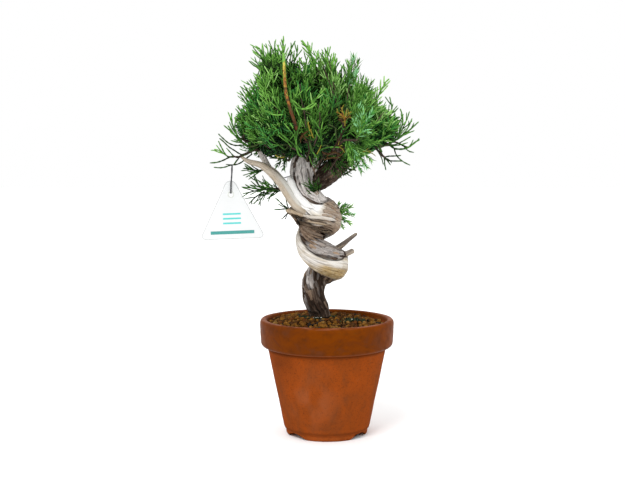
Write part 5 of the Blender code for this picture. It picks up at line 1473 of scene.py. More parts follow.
    (-46, -4, 0.60, 2.6, 1, (312, 118), (318, 126), (321, 135), (322, 146)),
    (-44, -8, 0.66, 2.4, 1, (330, 96), (322, 104), (317, 114), (314, 126), (313, 140)),
    (-46, -4, 0.64, 3.6, 1, (326, 88), (320, 94), (314, 102), (311, 114)),
    (-40, -8, 0.64, 2.6, 1, (308, 78), (306, 88), (303, 98), (302, 110)),
    (-42, -6, 0.62, 3.0, 1, (298, 84), (297, 92), (293, 102), (292, 114)),
    (-44, -6, 0.62, 3.2, 1, (272, 88), (274, 98), (279, 108), (286, 118)),
    (-40, -8, 0.66, 3.4, 2, (262, 90), (266, 99), (272, 109), (280, 118)),
    (-42, -8, 0.62, 2.4, 1, (252, 104), (259, 111), (267, 118), (276, 126)),
    (-40, -8, 0.62, 2.2, 1, (248, 118), (255, 124), (264, 131), (275, 138)),
    (-38, -10, 0.62, 2.0, 1, (246, 130), (254, 136), (264, 142), (276, 148)),
    (-44, -6, 0.66, 2.4, 0, (340, 147.6), (334, 147), (327, 147.6), (321, 150), (316, 156)),
    (-46, -6, 0.60, 1.4, 1, (340, 92), (337, 102), (332, 113), (328, 124)),
    (-44, -4, 0.60, 1.2, 1, (350, 96), (346, 104), (342, 114), (336, 128)),
    (-36, -6, 0.62, 2.2, 0, (366, 137), (372, 141), (377, 146), (382, 152)),
)

# young shoots with awl leaves: depth at foot, drift, leaf length, gap, darker tone, lighter tone, points tip first
YOUNG = (
    (-10, -4, 10.4, 1.95, 3, 9, (353.4, 58), (352.6, 64), (351.4, 72), (349.6, 84), (348, 98)),
    (-14, -2, 9.5, 2.05, 3, 4, (348.4, 63), (348.6, 70), (348.4, 79), (347, 92)),
    (-8, -2, 9.3, 2.05, 3, 4, (358, 62), (356.4, 69), (354, 78), (351, 90)),
    (-16, -2, 8.6, 2.05, 3, 9, (356.6, 72), (355, 79), (352.6, 88), (350, 98)),
    (-20, -2, 8.2, 2.15, 3, 4, (366, 82), (363.6, 89), (360, 98), (356, 108)),
    (-24, -4, 8.0, 2.15, 3, 4, (357, 86), (356.4, 93), (355, 101), (352, 112)),
    (-30, -4, 8.0, 2.15, 3, 4, (372, 94), (368, 100), (364, 107), (359, 116)),
    (-34, -6, 8.0, 2.25, 3, 5, (364, 102), (362, 108), (360, 115), (357, 124)),
    (-30, -4, 7.8, 2.25, 3, 4, (379, 104), (374, 109), (369, 115), (363, 122)),
    (-14, 0, 8.0, 2.25, 3, 4, (362, 77), (361.6, 84), (359, 94), (355, 104)),
    (-12, -4, 7.8, 2.25, 3, 4, (371.6, 82.6), (369.4, 88), (366, 96), (361, 106)),
    (-52, -8, 9.8, 1.95, 4, 9, (363.4, 112), (362.6, 119), (361, 127), (359, 137)),
    (-52, -8, 9.6, 1.95, 8, 9, (371.4, 114), (367, 120), (363, 127), (360, 136)),
    (-52, -8, 8.6, 2.05, 3, 4, (375.4, 123), (370, 126), (364.6, 130), (360, 137)),
    (-53, -7, 8.8, 2.05, 4, 9, (367.4, 131.4), (364, 130.4), (360.4, 132), (357, 138)),
    (-52, -6, 8.4, 2.15, 3, 9, (355, 121), (356.6, 127), (357.4, 133), (357, 140)),
    (-50, -6, 7.4, 2.05, 3, 9, (357.4, 158.6), (354, 153), (351, 147), (348.6, 140)),
    (-49, -6, 6.8, 2.15, 3, 4, (349, 157), (348.6, 151.6), (347.4, 146), (346, 140)),
    (-42, -8, 8.0, 2.05, 3, 4, (373.6, 133), (367.4, 134), (363, 136), (358.6, 141)),
    (-46, -6, 8.4, 2.10, 3, 9, (359.4, 106), (359.8, 114), (359.6, 122), (357.6, 132)),
    (-40, -8, 8.2, 2.05, 3, 9, (366.6, 166.6), (361.6, 160), (356, 153), (351, 146), (348, 138)),
    (-38, -10, 7.6, 2.15, 3, 5, (359.6, 153), (354.6, 148), (350, 142)),
    (-40, -8, 8.0, 2.05, 3, 5, (371, 160), (366, 155), (360.6, 150), (355, 144)),
    (-40, -8, 7.8, 2.05, 3, 9, (361, 170.6), (357.6, 164), (353.6, 157), (350, 149)),
    (-38, -8, 7.6, 2.15, 3, 5, (353, 166), (350.6, 160), (348.6, 154), (346, 147)),
    (-42, -8, 7.8, 2.15, 3, 4, (378, 142), (372, 142.4), (366, 142), (360, 141)),
    (-40, -4, 7.3, 2.25, 3, 3, (361, 98), (361, 106), (360, 114), (358, 124)),
    (-44, -4, 6.5, 2.35, 7, 8, (343, 130), (341, 137), (338, 145)),
    (-34, -4, 6.9, 2.35, 1, 2, (283.6, 168.6), (284.4, 163), (287, 157)),
    (-30, -4, 6.5, 2.35, 1, 2, (277.4, 165.4), (280, 161), (284, 156)),
    (-46, -6, 6.9, 2.15, 3, 4, (299.6, 122), (299, 128), (298, 135)),
)

# yellow-brown and dying shoots of the same form
FADED = (
    (-50, -4, 0.60, YELLOW, (336.4, 110.8), (341, 115), (344.6, 120), (345, 126)),
    (-52, -2, 0.54, YELLOW, (341, 107), (343.2, 113), (345.2, 119)),
    (-52, 0, 0.60, YELLOW, (350.6, 111.4), (348, 116), (345.6, 121)),
    (-53, 0, 0.52, ORANGE, (337, 112.4), (340.4, 113.6), (344, 117), (345.4, 121)),
    (-53, 0, 0.54, YELLOW, (346.6, 110), (345.8, 114), (345.2, 118)),
    (-53, 0, 0.52, DEAD, (350.6, 116.6), (347.6, 117), (345.6, 120.6)),
    (-52, 0, 0.56, RUST, (341, 110), (342.4, 113), (344.4, 117)),
    (-52, 0, 0.54, DEAD, (338.4, 116.6), (341, 118.4), (344, 120)),
    (-50, 0, 0.56, DEAD, (340, 119), (343, 121.6), (345.4, 124)),
    (-49, 0, 0.70, DRY, (345.2, 119.4), (345, 126), (343, 133), (338.6, 140), (334, 148)),
    (-48, -2, 0.60, YELLOW, (307.6, 122.6), (309, 128), (311.6, 133), (313.4, 138)),
    (-48, 0, 0.56, YELLOW, (339.6, 140.6), (338.2, 145), (338, 148)),
    (-48, 0, 0.56, YELLOW, (343.6, 149.4), (339.6, 147.4), (336, 147)),
    (-46, 0, 0.56, YELLOW, (320.6, 147.6), (318.6, 151), (317, 154)),
    (-47, 0, 0.80, DEAD, (299, 139.4), (301.4, 137), (304, 134), (308, 131)),
    (-46, 0, 0.60, DEAD, (306, 141), (304, 137), (301, 135)),
    (-40, 0, 0.60, DEAD, (344, 153), (338, 157), (330, 158), (324, 160)),
    (-38, 0, 0.66, DEAD, (322, 152), (328, 154.6), (334, 152.6), (341, 154)),
    (-30, -2, 0.55, YELLOW, (375, 155), (371, 153), (366, 151), (361, 152)),
    (-30, 0, 0.50, YELLOW, (281.6, 139), (276, 139.4), (271, 142)),
    (-44, 0, 0.50, YELLOW, (283, 157.4), (279, 157), (275, 155)),
)

# leafless dark twigs
BARE_TWIGS = (
    (-14, -2, 0.62, (346, 163), (351, 164), (357, 165.4), (363, 165.8)),
    (-12, -2, 0.60, (343.6, 168.4), (349, 168.8), (356, 170.4)),
    (-16, 2, 0.70, (343, 175.4), (348, 172.4), (353, 169.2), (357, 165.4), (360, 160)),
    (-8, 5, 0.42, (279.6, 177.2), (283, 178), (287, 177), (290.6, 175.8), (293.6, 175.2)),
    (-44, -2, 0.60, (341, 119.6), (343, 127), (341, 135), (337.6, 141)),
    (-30, 0, 0.80, (327, 175), (333, 165), (338, 156), (340, 146)),
    (-26, 0, 0.70, (314, 170), (320, 162), (325, 154), (327, 144)),
    (-34, 0, 0.60, (306, 160), (309, 152), (308, 143), (304, 134)),
    (3, 0, 1.5, (323, 153), (319, 160), (314.6, 167), (310, 174)),
    (6, -3, 1.5, (327, 153), (322.6, 160), (318, 167), (312.4, 174)),
    (10, -4, 1.3, (320, 150), (316.6, 157), (312, 163), (307.6, 171)),
    (-14, -14, 0.42, (327.8, 62), (329.7, 63.3), (333.3, 83.3), (339.2, 103.3), (343.7, 120)),
    (-16, -14, 0.40, (319.6, 60), (323.3, 66), (328.3, 80), (333.3, 93.3), (338, 108)),
    (-26, -12, 0.40, (350, 84), (348.3, 90.7), (346.7, 103.3), (345, 118.3)),
    (-47, 0, 0.85, (345, 119), (342.5, 130), (340, 140), (333, 150)),
    (-40, -8, 0.50, (300, 84), (301, 98), (304, 112), (306, 128)),
    (-40, -8, 0.46, (268, 98), (276, 108), (284, 120), (292, 134)),
    (-44, -4, 0.50, (318, 104), (320, 118), (318, 132), (314, 146)),
    (-30, -8, 0.46, (384, 112), (376, 122), (368, 132), (358, 142)),
    (-26, -6, 0.46, (376, 104), (370, 114), (362, 126), (354, 138)),
)

# small sprays below the crown: depth, drift, radius, tone, side shoots, points tip first
LOW = (
    # under the dead branch's end
    (-6, -2, 0.74, 1.4, 1, (244.4, 165.2), (247, 167.6), (251.6, 169.6), (257, 170.4), (263, 170)),
    (-4, -3, 0.66, 1.4, 1, (247.4, 173.6), (252.4, 173.4), (257.4, 171.8), (263, 170)),
    (-2, -4, 0.62, 1.6, 1, (245.6, 168.6), (249.6, 169.4), (254, 170.6), (260, 170.4)),
    (-8, 0, 0.60, 1.4, 0, (253.6, 175.6), (257, 173.4), (261, 171)),
    (-6, 2, 0.56, 1.8, 0, (251, 165), (254, 167.4), (258, 169.6)),
    # the low left spray
    (-4, -4, 0.68, 1.5, 1, (244.8, 184.2), (250, 187.4), (256, 189), (263, 189.4), (272, 190)),
    (2, -4, 0.62, 1.6, 1, (253.2, 175.2), (255.6, 180.6), (259.4, 185.6), (266, 188.6)),
    (4, -6, 0.56, 1.4, 0, (250.6, 180.8), (254.6, 184.4), (259.6, 187.4), (266, 189)),
    (-2, -4, 0.64, 1.4, 1, (242.2, 193.6), (248.4, 192.6), (255.4, 190.8), (263, 190)),
    (4, -6, 0.62, 1.3, 1, (248.4, 204.2), (253, 199.4), (258.4, 195), (264.6, 191.4)),
    (-2, -2, 0.60, 1.4, 1, (258.4, 205.4), (260.4, 200.4), (264, 195.6), (269, 191.6)),
    (6, -4, 0.56, 1.6, 1, (262.4, 178.6), (264.4, 183), (268.4, 187.4), (274, 190)),
    (0, 0, 0.62, 1.8, 2, (257, 184.6), (262, 186.4), (268, 188.4), (276, 190.4)),
    (8, -4, 0.60, 1.6, 2, (258, 196.6), (264, 193.4), (270, 191.4), (278, 190.6)),
    (-4, 2, 0.60, 1.8, 2, (264, 182), (268, 186), (273, 188.8), (280, 190.6)),
    (2, 2, 0.60, 1.6, 2, (268, 199), (271, 195), (275, 192.2), (282, 190.8)),
    (8, 0, 0.58, 2.0, 1, (273, 183.6), (276, 187), (281, 190)),
    # sprig on the shoulder of the coil
    (-6, -2, 0.62, 1.0, 0, (285.2, 195), (286.2, 199.6), (287, 204), (288.6, 208.4)),
    (-6, -3, 0.62, 1.0, 0, (274.6, 197.4), (279, 201), (283, 205), (288.6, 208.6)),
    (-6, -2, 0.56, 1.0, 0, (277.6, 203.6), (281, 205.6), (285, 207.4), (289, 208.8)),
    (-6, -2, 0.62, 1.0, 0, (273.8, 209.6), (278, 209.6), (283.4, 209), (289, 208.8)),
    (-6, 0, 0.60, 0.8, 0, (281, 219.6), (284.4, 216.6), (287.6, 213), (290.4, 210)),
    (-6, 0, 0.52, 0.8, 0, (284.8, 219.8), (286.4, 216.8), (287.6, 213)),
    # knot by the fork
    (-16, -6, 0.56, 1.0, 1, (309.4, 184), (312, 186.6), (316, 190)),
    (-14, -6, 0.56, 1.6, 1, (314.6, 182.8), (315.4, 186.6), (317, 190.6)),
    (-14, -6, 0.56, 1.2, 1, (320.6, 184.6), (319, 187.6), (318, 191)),
    (-16, -4, 0.50, 1.2, 1, (309.6, 190), (313, 191), (317, 191.4)),
    (-12, -4, 0.50, 0.8, 1, (311, 187), (314, 189.4), (318, 191)),
    (-12, -4, 0.50, 0.8, 1, (318, 185), (317.6, 188.4), (318, 191.6)),
    # before and under the right bough
    (-10, -6, 0.60, 0.9, 2, (351.6, 171.6), (347, 168), (342, 163.6), (338, 159)),
    (-12, -6, 0.56, 1.2, 2, (346.4, 176), (343, 171.4), (339.6, 166.4), (336, 161)),
    (-14, -6, 0.56, 0.8, 2, (336, 175.6), (335, 170.4), (333.6, 165), (332, 160)),
    (-14, -6, 0.56, 1.2, 2, (329, 171), (329, 166), (330, 161), (331, 157)),
    (-12, -4, 0.54, 0.7, 2, (355.4, 163.8), (350.6, 162.4), (345.6, 160), (341, 157)),
    (-16, -4, 0.52, 1.6, 2, (341.6, 166.8), (338.4, 163.6), (335.6, 160), (333, 156)),
)

YOUNG_LOW = (
    # behind the trunk on the right
    (14, -4, 8.6, 1.7, 4, 5, (350.6, 206.6), (344.6, 208.6), (338.6, 211.6), (330, 214)),
    (14, 0, 8.6, 1.7, 4, 9, (352.4, 214.6), (345.6, 214), (339, 214), (330, 214.6)),
    (14, 4, 8.4, 1.7, 4, 5, (349.6, 223), (343.6, 219), (338, 216.6), (330, 215)),
    (12, -6, 8.0, 1.7, 3, 5, (342.6, 227), (338.6, 221.6), (335.6, 217.6), (330, 215)),
    (18, 0, 8.0, 1.7, 4, 9, (345, 205), (340.6, 208.4), (336.6, 211.4), (330, 214)),
    (18, 4, 7.0, 1.8, 3, 5, (338.6, 204), (336.6, 208), (334, 211), (330, 213.6)),
    (16, 2, 7.0, 1.5, 4, 9, (346.6, 210.6), (342, 211.6), (336, 213), (330, 214.6)),
    (13, 2, 6.8, 1.5, 3, 8, (344, 220.6), (340.6, 217.6), (336, 216), (330, 215)),
    (16, -2, 6.6, 1.5, 4, 9, (341.6, 207.6), (338.4, 210), (334, 212.6), (330, 214.4)),
    (-18, -4, 4.0, 1.5, 1, 3, (315.6, 184), (315.6, 187), (316.4, 191)),
    (-16, -4, 3.8, 1.5, 1, 7, (310.6, 187.4), (313, 189.4), (317, 191.6)),
    (-14, -4, 3.8, 1.5, 0, 2, (320, 186.4), (318.6, 189), (318, 192)),
)


def inside(points, outline):
    """Which points of the picture lie inside an outline."""
    x, y = points[:, 0], points[:, 1]
    hit = np.zeros(len(points), bool)
    line = np.array(outline, float)
    for (x0, y0), (x1, y1) in zip(line, np.roll(line, -1, 0)):
        cross = (y0 > y) != (y1 > y)
        edge = (x1 - x0) * (y - y0) / np.where(y1 == y0, 1e-9, y1 - y0) + x0
        hit ^= cross & (x < edge)
    return hit


def limb_points():
    """Points along the outer part of each bough, from which twigs may grow, with their direction."""
    pts, ways = [], []
    for name, rows in LIMBS.items():
        if name in ("dead_branch", "dead_spur", "upper_stub", "lower_stub"):
            continue
        line = spline(rows, 4)[:, :3]
        way = unit(np.gradient(line, axis=0))
        start = len(line) // 2
        pts.extend(line[start:])
        ways.extend(way[start:])
    return np.array(pts), np.array(ways)


def surface_points(name, count, rng):
    """Even random points on a foliage solid, with outward normals."""
    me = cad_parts[name].data
    me.calc_loop_triangles()
    v = np.zeros(len(me.vertices) * 3, np.float32)
    me.vertices.foreach_get("co", v)
    v = v.reshape(-1, 3) / MM - AXIS
    f = np.array([t.vertices[:] for t in me.loop_triangles])
    a, b, c = v[f[:, 0]], v[f[:, 1]], v[f[:, 2]]
    cr = np.cross(b - a, c - a)
    area = np.linalg.norm(cr, axis=1) / 2
    pick = rng.choice(len(f), count, p=area / area.sum())
    r1, r2 = np.sqrt(rng.random(count))[:, None], rng.random(count)[:, None]
    p = a[pick] * (1 - r1) + b[pick] * r1 * (1 - r2) + c[pick] * r1 * r2
    return p, unit(cr[pick])


def crown_depth(p, skip=None):
    """How far inside the crown points are: 0 at the outside, 1 at a mass's middle."""
    best = np.zeros(len(p))
    for name, (c, h) in CROWN.items():
        if name == skip:
            continue
        q = np.linalg.norm((p - np.array(c)) / np.array(h), axis=1)
        best = np.maximum(best, 1 - q)
    return best


HEART = np.array((-12.0, 4.0, 226.0))
SPACING = 6.5
TUFT = 17.0


def drawn_in(outline, share):
    middle = np.mean(np.array(outline), axis=0)
    return middle + (np.array(outline) - middle) * share


def spaced(points, gap, rng):
    """Indexes of points taken in a random order, none nearer to another than a gap."""
    chosen, picked = [], np.zeros((0, 3))
    for i in rng.permutation(len(points)):
        if len(picked) and np.min(np.sum((picked - points[i]) ** 2, 1)) < gap ** 2:
            continue
        picked = np.vstack([picked, points[i]])
        chosen.append(i)
    return np.array(chosen, int)


def grow_crown(rng, groups):
    """Picks the ends of the sprays on the outside of the masses, and how each points. They stand in tufts,
    each with a tone and a length of its own and a sunken rim, whose darker tones are painted shade."""
    outline = drawn_in(OUTLINE, 0.97)
    feet, ways, sizes, tags = [], [], [], []
    for name in CROWN:
        raw, normal = surface_points(name, 4200, rng)
        hidden = crown_depth(raw + normal * 4.0, skip=name) > 0.0
        raw, normal = raw[~hidden], normal[~hidden]
        tufts = spaced(raw, TUFT, rng)
        nt = len(tufts)
        heart = raw[tufts]
        tuft_tone, tuft_long = rng.normal(0, 0.50, nt), rng.uniform(0.85, 1.22, nt)
        tuft_out = rng.uniform(-2.0, 3.0, nt)
        tuft_blue = rng.random(nt) < np.where(heart[:, 2] < 256, 0.40, 0.16) + 0.16 * (heart[:, 0] > 25)
        tuft_lean = rng.normal(0, 0.22, (nt, 3))
        for layer, gap in ((0, SPACING), (1, SPACING * 1.9)):
            chosen = spaced(raw, gap, rng)
            p, nrm = raw[chosen], normal[chosen]
            n = len(p)
            dist = np.linalg.norm(p[:, None] - heart[None], axis=2)
            mine = np.argmin(dist, 1)
            rim = ease(dist[np.arange(n), mine], TUFT * 0.40, TUFT * 0.80)
            apart = (p - heart[mine]) / TUFT
            reach = unit(p - HEART)
            under = ease(-nrm[:, 2], 0.15, 0.85)
            lean = unit(reach * (1.0, 0.8, 0.6))
            rise = (0.56 - 0.50 * under) * (0.15 + 0.85 * ease(p[:, 2], 238, 280))
            way = unit(0.26 * nrm + 0.62 * lean + UP * rise[:, None] + 0.55 * apart + tuft_lean[mine]
                       + rng.normal(0, 0.16, (n, 3)))
            length = rng.uniform(24, 36, n) * tuft_long[mine] * (1 - 0.22 * under)
            sink = rng.uniform(-1.5, 2.5, n) + 6.0 * rim + tuft_out[mine] if layer == 0 else rng.uniform(9, 17, n)
            end = p - nrm * sink[:, None]
            if layer:
                way = unit(way + rng.normal(0, 0.35, (n, 3)))
            # keep to the outline seen from the front
            for _ in range(8):
                out = ~inside(picture(end), outline)
                end[out] += unit(HEART + (0, 0, 30.0) - end[out]) * 1.8
            for _ in range(4):
                out = ~inside(picture(end - way * length[:, None]), outline)
                length[out] *= 0.88
                way[out] = unit(way[out] - UP * 0.16)
            ok = inside(picture(end), outline) & inside(picture(end - way * length[:, None]), OUTLINE)
            fork = inside(picture(end), CLEARING)
            ok &= ~(fork & (end[:, 1] < 6) & (rng.random(n) < 0.88))
            ok &= ~(inside(picture(end), TUFT_PLACE) & (end[:, 1] < -14) & (rng.random(n) < 0.75))
            p, nrm, way, length, end, under, rim, mine, fork = (v[ok] for v in (p, nrm, way, length, end, under, rim, mine, fork))
            n = len(p)
            right = ease(end[:, 0], 5, 50)
            # tones rise with height and on sprays facing up, and fall on the undersides, on each tuft's rim, on the
            # inner layer and behind the fork: painted light and shade; they also rise towards the right
            level = (2.08 + 1.02 * ease(end[:, 2], 240, 305) + 0.50 * ease(nrm[:, 2], -0.3, 0.9) + 1.05 * right - 0.7 * under
                     + tuft_tone[mine] - 1.3 * rim * (1 - layer) - 2.3 * layer + rng.normal(0, 0.35, n))
            level -= 1.7 * (fork & (end[:, 1] < 45))
            feet.append(end - way * length[:, None])
            ways.append(way)
            sizes.append(length)
            tags.append(np.stack([np.full(n, groups[name]), level, np.full(n, layer), tuft_blue[mine]], 1))
    feet, ways, sizes, tags = map(np.concatenate, (feet, ways, sizes, tags))
    seen, deep, odds = picture(feet + ways * sizes[:, None] * 0.5), feet[:, 1], np.random.default_rng(8).random(len(feet))
    keep = ~((inside(seen, AIRY) & (odds < 0.30)) | (inside(seen, AIRY_TOP) & (odds < 0.26)))
    for share in (0.0, 0.35, 0.7, 1.0):                    # the left bough shows in front of its foliage
        keep &= ~(inside(picture(feet + ways * sizes[:, None] * share), BOUGH_SEEN) & (deep < 5))
    return feet[keep], ways[keep], sizes[keep], tags[keep]


def grow_twigs(feet, ways, rng):
    """Joins every foot to the boughs by twigs that fork off one another."""
    roots, root_ways = limb_points()
    parent = [-1] * len(roots)
    arr, warr, carr = roots.copy(), root_ways.copy(), np.zeros(len(roots))
    near = np.array([np.min(np.linalg.norm(roots - f, axis=1)) for f in feet])
    ends = {}
    for i in np.argsort(near):
        gap = feet[i] - arr
        dist = np.linalg.norm(gap, axis=1)
        turn = 1 - np.sum(gap * warr, 1) / np.maximum(dist, 1e-6)
        score = dist * (1 + 0.35 * turn) + 0.30 * carr
        score[dist < 1.5] += 4
        j = int(np.argmin(score))
        a, b = arr[j], feet[i]
        wa, wb, dd = warr[j], ways[i], dist[j]
        cnt = int(np.clip(round(dd / 8), 1, 4))
        straight = (b - a) / max(dd, 1e-6)
        c1 = a + wa * dd * 0.30 * max(0.1, float(wa @ straight))
        c2 = b - wb * dd * 0.34 * max(0.1, float(wb @ straight))
        last = j
        new_p, new_w, new_c = [], [], []
        for k in range(1, cnt + 1):
            t = k / cnt
            p = (1 - t) ** 3 * a + 3 * (1 - t) ** 2 * t * c1 + 3 * (1 - t) * t * t * c2 + t ** 3 * b
            if k < cnt:
                p = p + rng.normal(0, 0.5, 3)
            q = unit(3 * (1 - t) ** 2 * (c1 - a) + 6 * (1 - t) * t * (c2 - c1) + 3 * t * t * (b - c2))
            new_p.append(p)
            new_w.append(q)
            parent.append(last)
            last = len(parent) - 1
            new_c.append(carr[j] + dd * t)
        arr = np.vstack([arr, new_p])
        warr = np.vstack([warr, new_w])
        carr = np.concatenate([carr, new_c])
        ends[i] = last
    load = np.zeros(len(parent))
    for i, e in ends.items():
        load[e] += 1
    for k in range(len(parent) - 1, -1, -1):
        if parent[k] >= 0:
            load[parent[k]] += load[k]
    radius = np.clip(0.46 * np.maximum(load, 0.6) ** 0.42, 0.46, 2.4)
    return arr, warr, np.array(parent), radius, len(roots)


def tube(pile, pts, radii, sides, slot, **extra):
    tang, one, two = carried(pts, (0.31, 0.77, 0.55))
    a = (np.arange(sides) * TAU / sides)[None, :]
    d = np.cos(a)[..., None] * one[:, None] + np.sin(a)[..., None] * two[:, None]
    xyz = pts[:, None] + d * np.asarray(radii)[:, None, None]
    n = len(pts)
    caps = np.array([pts[0], pts[-1] + tang[-1] * radii[-1] * 0.6])
    tris = [((i + 1) % sides, i, n * sides) for i in range(sides)] + [
        ((n - 1) * sides + i, (n - 1) * sides + (i + 1) % sides, n * sides + 1) for i in range(sides)]
    pile.add(np.concatenate([xyz.reshape(-1, 3), caps]), grid_faces(n, sides), tris, slot=slot, **extra)


def twig_material(name, dark, mid, light):
    s = Shader(name, rough=0.85, spec=0.2)
    a = s.noise(s.place(), 900.0, 3.0, 0.6)
    s.colour(s.ramp(a, (0.35, dark), (0.5, mid), (0.66, light)))
    s.bump(a, 0.5, 0.0003)
    return s.mat


def build_twigs(net):
    arr, warr, parent, radius, roots = net
    pile = Pile()
    for k in range(roots, len(parent)):
        j = parent[k]
        a, b = arr[j], arr[k]
        gap = np.linalg.norm(b - a)
        straight = (b - a) / max(gap, 1e-6)
        m1 = warr[j] * gap * max(0.15, float(warr[j] @ straight))
        m2 = warr[k] * gap * max(0.15, float(warr[k] @ straight))
        steps = 3 if gap > 6 else 2
        t = np.linspace(0, 1, steps + 1)[:, None]
        pts = ((2 * t ** 3 - 3 * t ** 2 + 1) * a + (t ** 3 - 2 * t ** 2 + t) * m1 * 0.8
               + (-2 * t ** 3 + 3 * t ** 2) * b + (t ** 3 - t ** 2) * m2 * 0.8)
        r0 = min(radius[j], radius[k] * 1.25) if j >= roots else radius[k] * 1.2
        radii = np.linspace(r0, radius[k], steps + 1) * (1 + 0.10 * noise(pts * 0.6, 4))
        tube(pile, pts, radii, 5, 0 if radius[k] > 0.72 else 1)
    rng = np.random.default_rng(12)
    for depth, drift, r, *points in BARE_TWIGS:
        line = evened(drawn(points, depth, drift), 2.0)
        tube(pile, line, np.linspace(r * 0.8, r, len(line)) * (1 + 0.12 * rng.normal(size=len(line))), 6, 0)
    # stalks of the low sprays
    for rows in (((-22, -4, 205.0, 1.6), (-30, 0, 204.0, 1.3), (-38, 2, 203.4, 1.1), (-46, 3, 203.4, 0.9)),
                 ((-4, 8, 180.0, 1.5), (2, 12, 181.6, 1.2), (6, 13.6, 181.0, 0.9)),
                 ((-46, 0.0, 217.6, 1.2), (-49, 1.0, 218.6, 0.9), (-53, 0.0, 219.4, 0.8)),
                 ((-14, 2, 196.0, 1.3), (-11, -8, 199.0, 1.0), (-8.5, -14, 201.0, 0.8)),
                 ((-22, -8, 190.0, 0.9), (-27, -10, 189.0, 0.7), (-30.4, -10.4, 188.4, 0.5))):
        line = spline(rows, 5)
        tube(pile, line[:, :3], line[:, 3], 7, 0)
    mats = [twig_material("twig_brown", (0.018, 0.011, 0.008), (0.050, 0.031, 0.022), (0.10, 0.068, 0.048)),
            twig_material("twig_green", (0.022, 0.036, 0.010), (0.050, 0.080, 0.022), (0.085, 0.115, 0.036))]
    return piece("crown_twigs", pile, mats)


def trace(shoots, rng, group, rows, tone_of, feet, ways, lift=0.0):
    """The single shoots, each with short side shoots on alternate sides of it."""
    for depth, drift, r, tone, sides, *points in rows:
        tone += lift
        line = drawn(points[::-1], depth, drift)
        even = evened(line, 2.0)
        mid = evened(line, 2.0 * max(1, len(even) // 16)) if len(even) > 18 else even
        shoots.lines(group, mid[None], r * 1.10, tone_of(tone - 0.4), tone_of(tone + 0.6), rng, 0.62)
        feet.append(line[0])
        ways.append(unit(line[1] - line[0]))
        run = np.concatenate([[0], np.cumsum(np.linalg.norm(np.diff(line, axis=0), axis=1))])
        tang = unit(np.gradient(line, axis=0))
        count = int(sides * 2 + 1 if sides else 0)
        for k in range(count):
            t = np.interp((k + 0.5 + rng.uniform(-0.3, 0.3)) / count, (0, 1), (0.12, 0.80))
            i = int(np.searchsorted(run, t * run[-1]).clip(1, len(line) - 2))
            d = tang[i]
            across = unit(np.cross(d, (rng.normal(0, 0.35), -1.0, rng.normal(0, 0.35)))) * (1 if k % 2 else -1)
            a = math.radians(rng.uniform(24, 40))
            w = d * math.cos(a) + across * math.sin(a)
            size = rng.uniform(5.5, 10.5) * (1.1 - 0.55 * t)
            shoots.add(group, line[i], w, size, d * 0.26 + UP * 0.06, r * 0.95, tone_of(tone), tone_of(tone + 0.8), rng, 2.0, 0.5)


def build_leader(mats):
    """The long unbranched shoot in front, rust-red at its foot and yellow near its end."""
    rows = [(-21.6, -6.0, 243.0), (-25.0, -26.0, 247.0), tuple(at(297.0, 131.0, -49.0)), tuple(at(293.4, 119.0, -53.5)),
            tuple(at(289.3, 106.0, -54.0)), tuple(at(286.4, 95.0, -51.5)), tuple(at(285.2, 86.0, -47.5)),
            tuple(at(284.5, 75.0, -41.0)), tuple(at(284.0, 63.5, -32.5)), tuple(at(283.4, 54.0, -24.0))]
    line = evened(spline(rows, 8), 1.15)
    n = len(line)
    tang, one, two = carried(line, (1.0, 0.1, 0.0))
    sides = 8
    a = (np.arange(sides) * TAU / sides)[None, :] + (np.arange(n) % 2 * TAU / 16)[:, None]
    t = np.linspace(0, 1, n)
    r = (1.48 - 0.42 * t) * (1 + 0.09 * (np.arange(n) % 3 == 0)) * (1 + 0.06 * noise(line * 0.9, 6))
    xyz = line[:, None] + (np.cos(a) * r[:, None])[..., None] * one[:, None] + (np.sin(a) * r[:, None])[..., None] * two[:, None]
    py = picture(line)[:, 1]
    rng = np.random.default_rng(9)
    ladder = np.array((4, GOLDEN, YELLOW, ORANGE, DEAD, RUST, DRY))
    rung = np.interp(py, (59, 64, 67, 76, 92, 108, 122, 136), (-0.6, 0.1, 1.4, 2.6, 3.2, 3.9, 4.9, 5.4))
    tone = ladder[np.clip(np.round(rung + rng.normal(0, 0.45, n)), 0, 6).astype(int)]
    grain = ladder[np.clip(np.round(np.repeat(rung[:-1], sides) + rng.normal(0, 0.60, (n - 1) * sides)), 0, 6).astype(int)]
    pile = Pile()
    pile.add(xyz.reshape(-1, 3), grid_faces(n, sides), slot=grain)
    # pairs of pointed scales pressed to the shoot
    for i in range(6, n - 1, 3):
        for k in (0, 1):
            b = rng.random() * TAU
            out = one[i] * math.cos(b) + two[i] * math.sin(b)
            side = np.cross(tang[i], out)
            p = line[i] + out * r[i] * 0.9
            h, w = rng.uniform(1.4, 2.4), 0.42
            pts = [p - side * w, p + side * w, p + out * 0.30, p + tang[i] * h + out * 0.55]
            pile.add(pts, tris=[(0, 3, 1), (1, 3, 2), (2, 3, 0)], slot=int(tone[i]))
    piece("leader_shoot", pile, mats)


